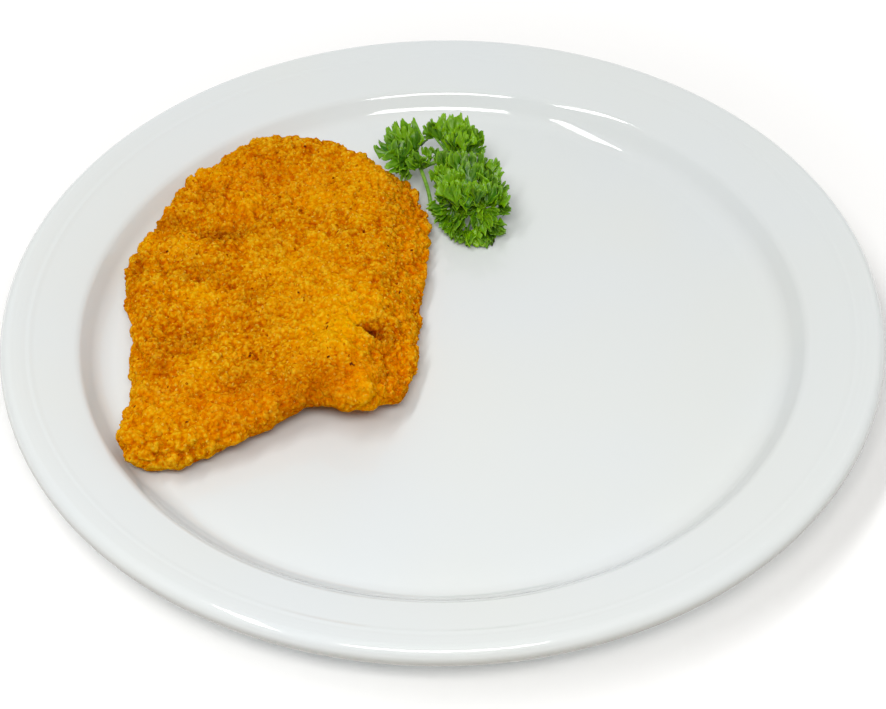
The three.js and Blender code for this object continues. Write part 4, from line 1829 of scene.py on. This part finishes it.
@dataclass
class Parsley:
    """One curly sprig: a forked stem, stalks, and funnels of ruffled leaves."""

    plate: Plate
    leaf_thickness: float = 0.26
    stem_radius: float = 0.68
    stalk_radius: float = 0.4
    stalk_overlap: float = 1.5
    rod_sides: int = 12
    leaves_a_spray: int = 3
    wide_shapes: int = 3
    mingling: float = 0.3
    facing: Point = (0.0, -0.6, 0.8)
    facing_share: float = 0.35
    facing_main: float = 0.8
    ruffle: float = 2.3
    ruffle_size: float = 2.8
    plate_gap: float = 0.25
    main_lean: tuple[float, float] = (10, 6)
    round_lean: tuple[float, float] = (32, 12)
    filler_lean: tuple[float, float] = (15, 14)
    main_size: tuple[float, float] = (0.9, 1.15)
    round_size: tuple[float, float] = (0.6, 0.95)
    filler_size: tuple[float, float] = (3.5, 7)
    patches: tuple[LeafPatch, ...] = (
        LeafPatch("parsley_leaves_far", (0,), 8, 5),
        LeafPatch("parsley_leaves_top", (1,), 16, 6),
        LeafPatch("parsley_leaves_near", (2, 3), 70, 7),
    )
    stems: tuple[tuple[Point, ...], ...] = (
        ((-3.1, 52, 11.5), (-3.5, 56, 13.3), (-4.6, 61, 14.6), (-6, 66, 15.8), (-7.5, 71, 16.2)),
        ((-6, 68, 16), (-4, 70, 15.6), (-1, 71.5, 16), (3.5, 74, 17.5)),
        ((-3.1, 52, 11.5), (0, 53, 10.8), (4, 52.5, 12.5), (12, 51, 14)),
    )
    leaflets: tuple[Leaflet, ...] = (
        Leaflet((-7, 69.5, 16), (
            Spray((-10.5, 75.5, 18), (-0.15, 0.85, 0.5), 10.5),
            Spray((-12, 76.5, 18), (-0.5, 0.75, 0.35), 9), Spray((-9, 73.5, 18), (0, 0.9, 0.4), 9),
            Spray((-14, 71, 18), (-0.65, 0.7, 0.3), 9),
            Spray((-12, 68.5, 19), (-0.15, 0.8, 0.5), 7.5),
            Spray((-10.5, 70, 18.5), (-0.9, -0.4, 0.1), 9.5),
            Spray((-10.5, 67, 18.3), (-0.1, -0.85, -0.26), 7),
            Spray((-6, 66.5, 17), (-0.6, 0.4, 0.6), 6.5),
            Spray((-6, 66.5, 17), (0.2, 0.6, 0.75), 5), Spray((-3.5, 72, 17), (-0.1, 0.9, 0.3), 4),
        )),
        Leaflet((3.5, 73, 17), (
            Spray((-1, 82, 18), (-0.75, 0.6, 0.3), 6.5),
            Spray((0.5, 80.5, 18), (-0.25, 0.85, 0.45), 8.5),
            Spray((2.5, 79, 18), (-0.05, 0.85, 0.5), 10),
            Spray((5.5, 77.5, 18.5), (0.1, 0.85, 0.5), 10),
            Spray((8, 75.5, 19), (0.15, 0.85, 0.5), 9), Spray((10, 74.5, 19), (0.3, 0.8, 0.5), 8),
            Spray((11, 73.5, 19), (0.5, 0.7, 0.45), 6.5),
            Spray((10.5, 72.5, 18), (0.8, 0.45, 0.4), 5.5),
            Spray((4.5, 72, 20), (-0.05, 0.8, 0.55), 8.5),
            Spray((8.5, 70, 20.5), (0.05, 0.8, 0.6), 7.5),
            Spray((-1, 71, 17), (0.6, 0.6, 0.5), 4.5),
        )),
        Leaflet((4, 52.5, 12.5), (
            Spray((0.5, 61, 16), (-0.5, 0.75, 0.45), 5.5),
            Spray((1.5, 60, 17), (-0.15, 0.8, 0.6), 6), Spray((3.5, 62, 18), (0, 0.85, 0.5), 8),
            Spray((6.5, 60, 19), (0.05, 0.85, 0.55), 8),
            Spray((3, 55.5, 17.5), (-0.6, 0.7, 0.45), 6),
            Spray((3, 51, 17), (-0.9, 0.35, 0.25), 5.5),
            Spray((2, 49.5, 14.5), (-0.9, -0.4, -0.15), 6.5),
            Spray((3, 47.5, 12.5), (-0.6, -0.7, -0.35), 6.5),
            Spray((5, 45.5, 11.5), (-0.5, -0.75, -0.4), 6.5),
            Spray((6.5, 43.5, 11.5), (-0.3, -0.8, -0.5), 6),
            Spray((5.5, 51.5, 20), (-0.1, 0.85, 0.5), 8.5),
            Spray((3.5, 46.5, 19), (-0.2, 0.85, 0.45), 8), Spray((5.5, 43, 20), (0, 0.85, 0.5), 9),
            Spray((7, 44, 15.5), (-0.45, -0.75, -0.35), 7.5),
        )),
        Leaflet((12, 51, 13), (
            Spray((11, 57.5, 19.5), (0.05, 0.85, 0.5), 9),
            Spray((14.5, 58, 19), (0.3, 0.8, 0.5), 8.5),
            Spray((16, 56, 18.5), (0.5, 0.75, 0.4), 6.5),
            Spray((17, 51.5, 18), (0.55, 0.75, 0.35), 6.5),
            Spray((17.5, 48.5, 17.5), (0.9, 0.1, 0.25), 6),
            Spray((17.5, 47, 14.5), (0.95, -0.25, 0), 6.5),
            Spray((16, 44, 13), (0.75, -0.6, -0.25), 7),
            Spray((14, 43.5, 11.5), (0.4, -0.8, -0.4), 8),
            Spray((11.5, 42.5, 11.5), (0, -0.9, -0.45), 7.5),
            Spray((9, 42.5, 11.5), (-0.25, -0.85, -0.45), 7.5),
            Spray((9.5, 51, 21.5), (0.05, 0.85, 0.5), 9),
            Spray((13.5, 50, 20.5), (0.3, 0.8, 0.5), 8.5), Spray((9, 42, 21), (0, 0.85, 0.5), 9),
            Spray((12, 42, 21), (0.1, 0.85, 0.5), 9), Spray((15, 43.5, 20), (0.3, 0.85, 0.45), 8.5),
            Spray((16.5, 44, 19), (0.55, 0.75, 0.4), 7),
            Spray((12, 43, 16.5), (0.4, -0.8, -0.35), 8),
            Spray((14, 44.5, 17), (0.8, -0.4, -0.2), 7),
        )),
    )
    shapes: tuple[LeafShape, ...] = (
        LeafShape(lobes=3, half_width=0.4, notch=0.48, cup=0.3, curl=0.5),
        LeafShape(lobes=3, half_width=0.46, notch=0.42, cup=0.35, curl=0.3),
        LeafShape(lobes=4, half_width=0.52, notch=0.44, cup=0.25, curl=0.7),
        LeafShape(lobes=2, half_width=0.28, notch=0.36, cup=0.5, curl=0.2),
        LeafShape(lobes=3, half_width=0.4, notch=0.5, cup=0.4, curl=-0.5),
        LeafShape(lobes=2, half_width=0.22, notch=0.3, cup=0.6, curl=0.4),
    )

    def build(self) -> list[bpy.types.Object]:
        """Make the sprig: the leaves of each patch, and the stems."""
        return [*(self._leaves(patch) for patch in self.patches), self._stems()]

    def _settings(self, patch: LeafPatch) -> tuple[Array, Array, Array, Array]:
        """Stand leaves round every spray's direction, and fill the space between the sprays.

        Args:
            patch: the leaflets to clothe.

        Returns:
            Place, turn as angles, length and shape number of each leaf.
        """
        draw = np.random.default_rng(patch.seed)
        sprays = [spray for number in patch.leaflets for spray in self.leaflets[number].sprays]
        rows = []
        for spray in sprays:
            axis = Vector(spray.toward).normalized()
            first = draw.random() * math.tau
            facing = self.facing_main if spray.toward[2] > 0 else self.facing_share
            aim = self._aimed(axis, first, math.radians(draw.normal(*self.main_lean)), facing)
            size = spray.length * draw.uniform(*self.main_size)
            rows.append((spray.at, aim, size, draw.integers(self.wide_shapes)))
            for k in range(self.leaves_a_spray):
                turn = first + math.tau * k / self.leaves_a_spray + draw.normal(0, 0.3)
                tilt = math.radians(draw.normal(*self.round_lean))
                size = spray.length * draw.uniform(*self.round_size)
                aim = self._aimed(axis, turn, tilt, self.facing_share)
                at = np.array(spray.at) + draw.normal(0, 0.8, 3)
                rows.append((tuple(at), aim, size, draw.integers(len(self.shapes))))
        at = np.array([spray.at for spray in sprays])
        toward = unit(np.array([spray.toward for spray in sprays]))
        for _ in range(patch.fillers):
            shares = draw.dirichlet([self.mingling] * len(sprays))
            axis = unit(shares @ toward + draw.normal(0, 0.3, 3))
            size = draw.uniform(*self.filler_size)
            place_at = shares @ at - axis * size * 0.2 + draw.normal(0, 0.9, 3)
            tilt = math.radians(draw.normal(*self.filler_lean))
            aim = self._aimed(Vector(axis), draw.random() * math.tau, tilt, self.facing_share)
            rows.append((tuple(place_at), aim, size, draw.integers(len(self.shapes))))
        places, turns, sizes, numbers = zip(*rows)
        return np.array(places), np.array(turns), np.array(sizes), np.array(numbers)

    def _aimed(self, axis: Vector, turn: float, tilt: float, facing_share: float) -> Point:
        """Aim a leaf away from an axis, with its inner face between the axis and the light.

        Args:
            axis: the spray's direction.
            turn: where round the axis the leaf stands.
            tilt: how far it leans away from the axis.
            facing_share: how far its inner face turns to the light: 0 not at all, 1 fully.

        Returns:
            The turn of a leaf that lies along +Y with its inner face up, as angles.
        """
        across = axis.orthogonal().normalized()
        out = (Matrix.Rotation(turn, 3, axis) @ across).normalized()
        along = axis * math.cos(tilt) + out * math.sin(tilt)
        funnel = axis * math.sin(tilt) - out * math.cos(tilt)
        lit = funnel.lerp(Vector(self.facing), facing_share)
        inner = (lit - along * lit.dot(along)).normalized()
        side = along.cross(inner)
        return tuple(Matrix((side, along, inner)).transposed().to_euler())

    def _leaves(self, patch: LeafPatch) -> bpy.types.Object:
        """Set the leaf templates on their places, ruffle them and give them thickness.

        Args:
            patch: the leaflets to clothe.

        Returns:
            The patch's leaves as one piece.
        """
        places, turns, sizes, numbers = self._settings(patch)
        shelf = bpy.data.collections.new("leaf_shapes")
        templates = [shape.mesh(f"leaf_shape_{i}") for i, shape in enumerate(self.shapes)]
        for template in templates:
            shelf.objects.link(template)
        piece = mesh_piece(patch.name, places, [])
        store(piece, "aim", turns, "FLOAT_VECTOR")
        store(piece, "size", sizes * MM)
        store(piece, "shape", numbers, "INT")
        maker = Maker(
            "leaf_setting",
            Shapes=("Collection", shelf),
            Ruffle=("Float", self.ruffle * MM),
            Ruffle_size=("Float", self.ruffle_size * MM),
            Seed=("Int", patch.seed),
            Finish=("Material", Leaf().material()),
        )
        maker.run_on(piece, self._leaf_nodes(maker))
        wall = piece.modifiers.new("thickness", "SOLIDIFY")
        wall.thickness = self.leaf_thickness * MM
        wall.offset = 0.0
        settled(piece)
        self._rest_on_plate(piece)
        for template in templates:
            bpy.data.objects.remove(template)
        bpy.data.collections.remove(shelf)
        return piece

    @staticmethod
    def _leaf_nodes(maker: Maker) -> Wire:
        """Write the nodes that set and ruffle the leaves.

        Args:
            maker: the tree to write them in.

        Returns:
            The leaves.
        """
        choice = {"Collection": maker.given("Shapes"), "Separate Children": True, "Reset Children": True}
        shapes = maker.add("GeometryNodeCollectionInfo", {}, choice)
        turned = maker.add("FunctionNodeEulerToRotation", {}, {0: maker.named("aim", "FLOAT_VECTOR")})
        setting = {
            "Points": maker.given("Geometry"),
            "Instance": shapes,
            "Pick Instance": True,
            "Instance Index": maker.named("shape", "INT"),
            "Rotation": turned,
            "Scale": maker.named("size"),
        }
        placed = maker.add("GeometryNodeInstanceOnPoints", {}, setting)
        solid = maker.realized(placed, "leaf_number", maker.given("Seed"))
        return maker.finished(maker.ruffled(solid, 1.0 / maker.given("Ruffle size"), maker.given("Ruffle")))

    def _rest_on_plate(self, piece: bpy.types.Object) -> None:
        """Lift every point that would sink into the plate.

        Args:
            piece: the leaves.
        """
        points = np.empty(len(piece.data.vertices) * 3)
        piece.data.vertices.foreach_get("co", points)
        points = points.reshape(-1, 3)
        lowest = (self.plate.top(np.linalg.norm(points[:, :2] / MM, axis=1)) + self.plate_gap) * MM
        points[:, 2] = np.maximum(points[:, 2], lowest)
        piece.data.vertices.foreach_set("co", points.ravel())
        piece.data.update()

    def _stems(self) -> bpy.types.Object:
        """Draw the stem's branches and every stalk as round, slightly ridged rods.

        Returns:
            All the stems as one piece.
        """
        points, edges, radii = [], [], []

        def rod(path: Array, radius: float) -> None:
            """Add one rod.

            Args:
                path: the points it follows.
                radius: its radius.
            """
            first = len(points)
            points.extend(path)
            radii.extend([radius] * len(path))
            edges.extend((first + k, first + k + 1) for k in range(len(path) - 1))

        for stem in self.stems:
            rod(self._curve(np.array(stem, float)), self.stem_radius)
        for leaflet in self.leaflets:
            for spray in leaflet.sprays:
                reach = Vector(spray.toward).normalized() * self.stalk_overlap
                end = np.array(spray.at) + np.array(reach)
                rod(np.linspace(np.array(leaflet.hub, float), end, 6), self.stalk_radius)
        piece = mesh_piece("parsley_stems", np.array(points), [], edges=edges)
        store(piece, "rod_radius", np.array(radii) * MM)
        maker = Maker("stem_rods", Sides=("Int", self.rod_sides), Finish=("Material", Stalk().material()))
        maker.run_on(piece, self._rod_nodes(maker))
        return settled(piece)

    @staticmethod
    def _rod_nodes(maker: Maker) -> Wire:
        """Write the nodes that turn lines into rods.

        Args:
            maker: the tree to write them in.

        Returns:
            The rods.
        """
        line = maker.add("GeometryNodeMeshToCurve", {}, {"Mesh": maker.given("Geometry")})
        circle = {"Resolution": maker.given("Sides"), "Radius": 1.0}
        section = maker.add("GeometryNodeCurvePrimitiveCircle", {}, circle)
        radius = maker.named("rod_radius")
        lines = {"Curve": line, "Profile Curve": section, "Scale": radius, "Fill Caps": True}
        rods = maker.add("GeometryNodeCurveToMesh", {}, lines)
        rods = maker.add("GeometryNodeSetShadeSmooth", {}, {"Geometry": rods, "Shade Smooth": True})
        return maker.finished(rods)

    @staticmethod
    def _curve(corners: Array, steps: int = 6) -> Array:
        """Round a line of points off.

        Args:
            corners: the points it passes through.
            steps: points between two of them.

        Returns:
            The smooth line.
        """
        padded = np.vstack([2 * corners[0] - corners[1], corners, 2 * corners[-1] - corners[-2]])
        share = np.linspace(0, 1, steps, endpoint=False)[:, None]
        rows = [
            0.5 * (
                2 * b
                + (c - a) * share
                + (2 * a - 5 * b + 4 * c - d) * share**2
                + (3 * b - a - 3 * c + d) * share**3
            )
            for a, b, c, d in zip(padded, padded[1:], padded[2:], padded[3:])
        ]
        return np.vstack([*rows, corners[-1:]])


# ---------------------------------------------------------------- studio


@dataclass(frozen=True)
class Glow:
    """Soft light of the room from one side: the side, and its linear colour and strength."""

    side: Point
    light: Colour


@dataclass(frozen=True)
class Softbox:
    """A soft rectangular light: its name, the middles of its two ends, width, power and colour."""

    name: str
    start: Point
    end: Point
    width: float
    power: float
    colour: Colour


@dataclass
class Studio:
    """The pale floor, the soft lights and the camera."""

    frame_px: tuple[int, int] = (886, 709)
    focal_px: float = 1750.0
    sensor_width: float = 36.0
    eye_elevation: float = math.radians(43.70)
    eye_distance: float = 544.74
    eye_pivot: Point = (0.0, 0.0, 15.5)
    aim: Point = (0.143, -20.45, 15.5)
    roll: float = -0.01467
    floor_size: float = 8000.0
    focus: float = 3.0
    nearest_seen: float = 0.01
    farthest_seen: float = 20.0
    glows: tuple[Glow, ...] = (
        Glow((0, 1, 0), (1.18, 1.18, 1.16)),
        Glow((1, 0, 0), (0.8, 0.8, 0.79)),
        Glow((-1, 0, 0), (0.25, 0.25, 0.25)),
        Glow((0, 0, 1), (0.3, 0.3, 0.31)),
        Glow((0, 0.7, 0.7), (0.03, 0.03, 0.03)),
    )
    softboxes: tuple[Softbox, ...] = (
        Softbox("front_softbox", (-350, -680, 1060), (350, -760, 1020), 300, 9.9, (1.0, 0.98, 0.95)),
        Softbox("left_softbox", (-600, -600, 960), (-380, 250, 1200), 100, 5.3, (1.0, 1.0, 0.99)),
    )

    def build(self) -> None:
        """Set up the whole studio."""
        self._camera()
        self._floor()
        self._world()
        for softbox in self.softboxes:
            self._hang(softbox)
        view = bpy.context.scene.view_settings
        view.view_transform = "Standard"
        view.look = "None"

    def _camera(self) -> None:
        """Stand the camera in front of the plate, looking down at it."""
        back = Vector((0, -math.cos(self.eye_elevation), math.sin(self.eye_elevation)))
        eye = (Vector(self.eye_pivot) + back * self.eye_distance) * MM
        look = (Vector(self.aim) * MM - eye).normalized()
        level = look.cross(Vector((0, 0, 1))).normalized()
        up = level.cross(look)
        right = level * math.cos(self.roll) + up * math.sin(self.roll)
        above = up * math.cos(self.roll) - level * math.sin(self.roll)
        lens = bpy.data.cameras.new("camera")
        lens.sensor_fit = "HORIZONTAL"
        lens.sensor_width = self.sensor_width
        lens.lens = self.sensor_width * self.focal_px / self.frame_px[0]
        lens.clip_start = self.nearest_seen
        lens.clip_end = self.farthest_seen
        camera = bpy.data.objects.new("camera", lens)
        turned = Matrix((right, above, -look)).transposed().to_4x4()
        camera.matrix_world = Matrix.Translation(eye) @ turned
        bpy.context.scene.collection.objects.link(camera)
        bpy.context.scene.camera = camera

    def _floor(self) -> None:
        """Lay the floor under the plate's foot."""
        half = self.floor_size / 2
        corners = [(-half, -half, 0), (half, -half, 0), (half, half, 0), (-half, half, 0)]
        floor = mesh_piece("floor", np.array(corners), [(0, 1, 2, 3)], False)
        floor.data.materials.append(Backdrop().material())

    def _world(self) -> None:
        """Fill the room with soft light, brighter towards some sides."""
        world = bpy.data.worlds.new("room")
        world.use_nodes = True
        tree = Tree(world.node_tree)
        toward = tree.add("ShaderNodeTexCoord", {}, {}, "Generated")
        total = (0.0, 0.0, 0.0)
        for glow in self.glows:
            facing = tree.vectors("DOT_PRODUCT", toward, glow.side)
            share = facing.math("MAXIMUM", facing, 0.0) ** self.focus
            total = tree.vectors("ADD", total, tree.vectors("SCALE", glow.light, Scale=share))
        background = world.node_tree.nodes["Background"]
        tree.feed(background.inputs["Color"], total)
        bpy.context.scene.world = world

    @staticmethod
    def _hang(softbox: Softbox) -> None:
        """Hang a softbox so that it faces the plate.

        Args:
            softbox: which one.
        """
        start, end = Vector(softbox.start) * MM, Vector(softbox.end) * MM
        centre = (start + end) / 2
        along = (end - start).normalized()
        back = (centre - along * centre.dot(along)).normalized()
        light = bpy.data.lights.new(softbox.name, "AREA")
        light.shape = "RECTANGLE"
        light.size = (end - start).length
        light.size_y = softbox.width * MM
        light.energy = softbox.power
        light.color = softbox.colour
        lamp = bpy.data.objects.new(softbox.name, light)
        turned = Matrix((along, back.cross(along), back)).transposed().to_4x4()
        lamp.matrix_world = Matrix.Translation(centre) @ turned
        bpy.context.scene.collection.objects.link(lamp)


def write_sizes() -> None:
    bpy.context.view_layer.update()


def main() -> None:
    """Build the studio, the plate, the schnitzel and the sprig."""
    logging.basicConfig(level=logging.INFO, format="%(message)s")
    Studio().build()
    plate = Plate()
    place(plate.build(), "glaze", "plate")
    crust = Schnitzel(plate).build()
    scatters = (
        CrumbScatter(Crumb(CrumbTone.GOLDEN), 1.3, 0.8, 2.0, 101, share=0.5, sink=0.25),
        CrumbScatter(Crumb(CrumbTone.AMBER), 2.0, 0.6, 1.6, 151, share=0.5, sink=0.35),
        CrumbScatter(Crumb(CrumbTone.PALE), 2.0, 0.6, 1.4, 211, flat=0.45, sink=0.1),
        CrumbScatter(Crumb(CrumbTone.TOASTED), 8.0, 0.6, 1.4, 307),
    )
    crumbs = [scatter.build(crust) for scatter in scatters]
    place(crust, "crust", "schnitzel")
    for piece in crumbs:
        place(piece, "crust", "schnitzel")
    for piece in Parsley(plate).build():
        place(piece, "leaf", "parsley")
    write_sizes()


if __name__ == "__main__":
    main()
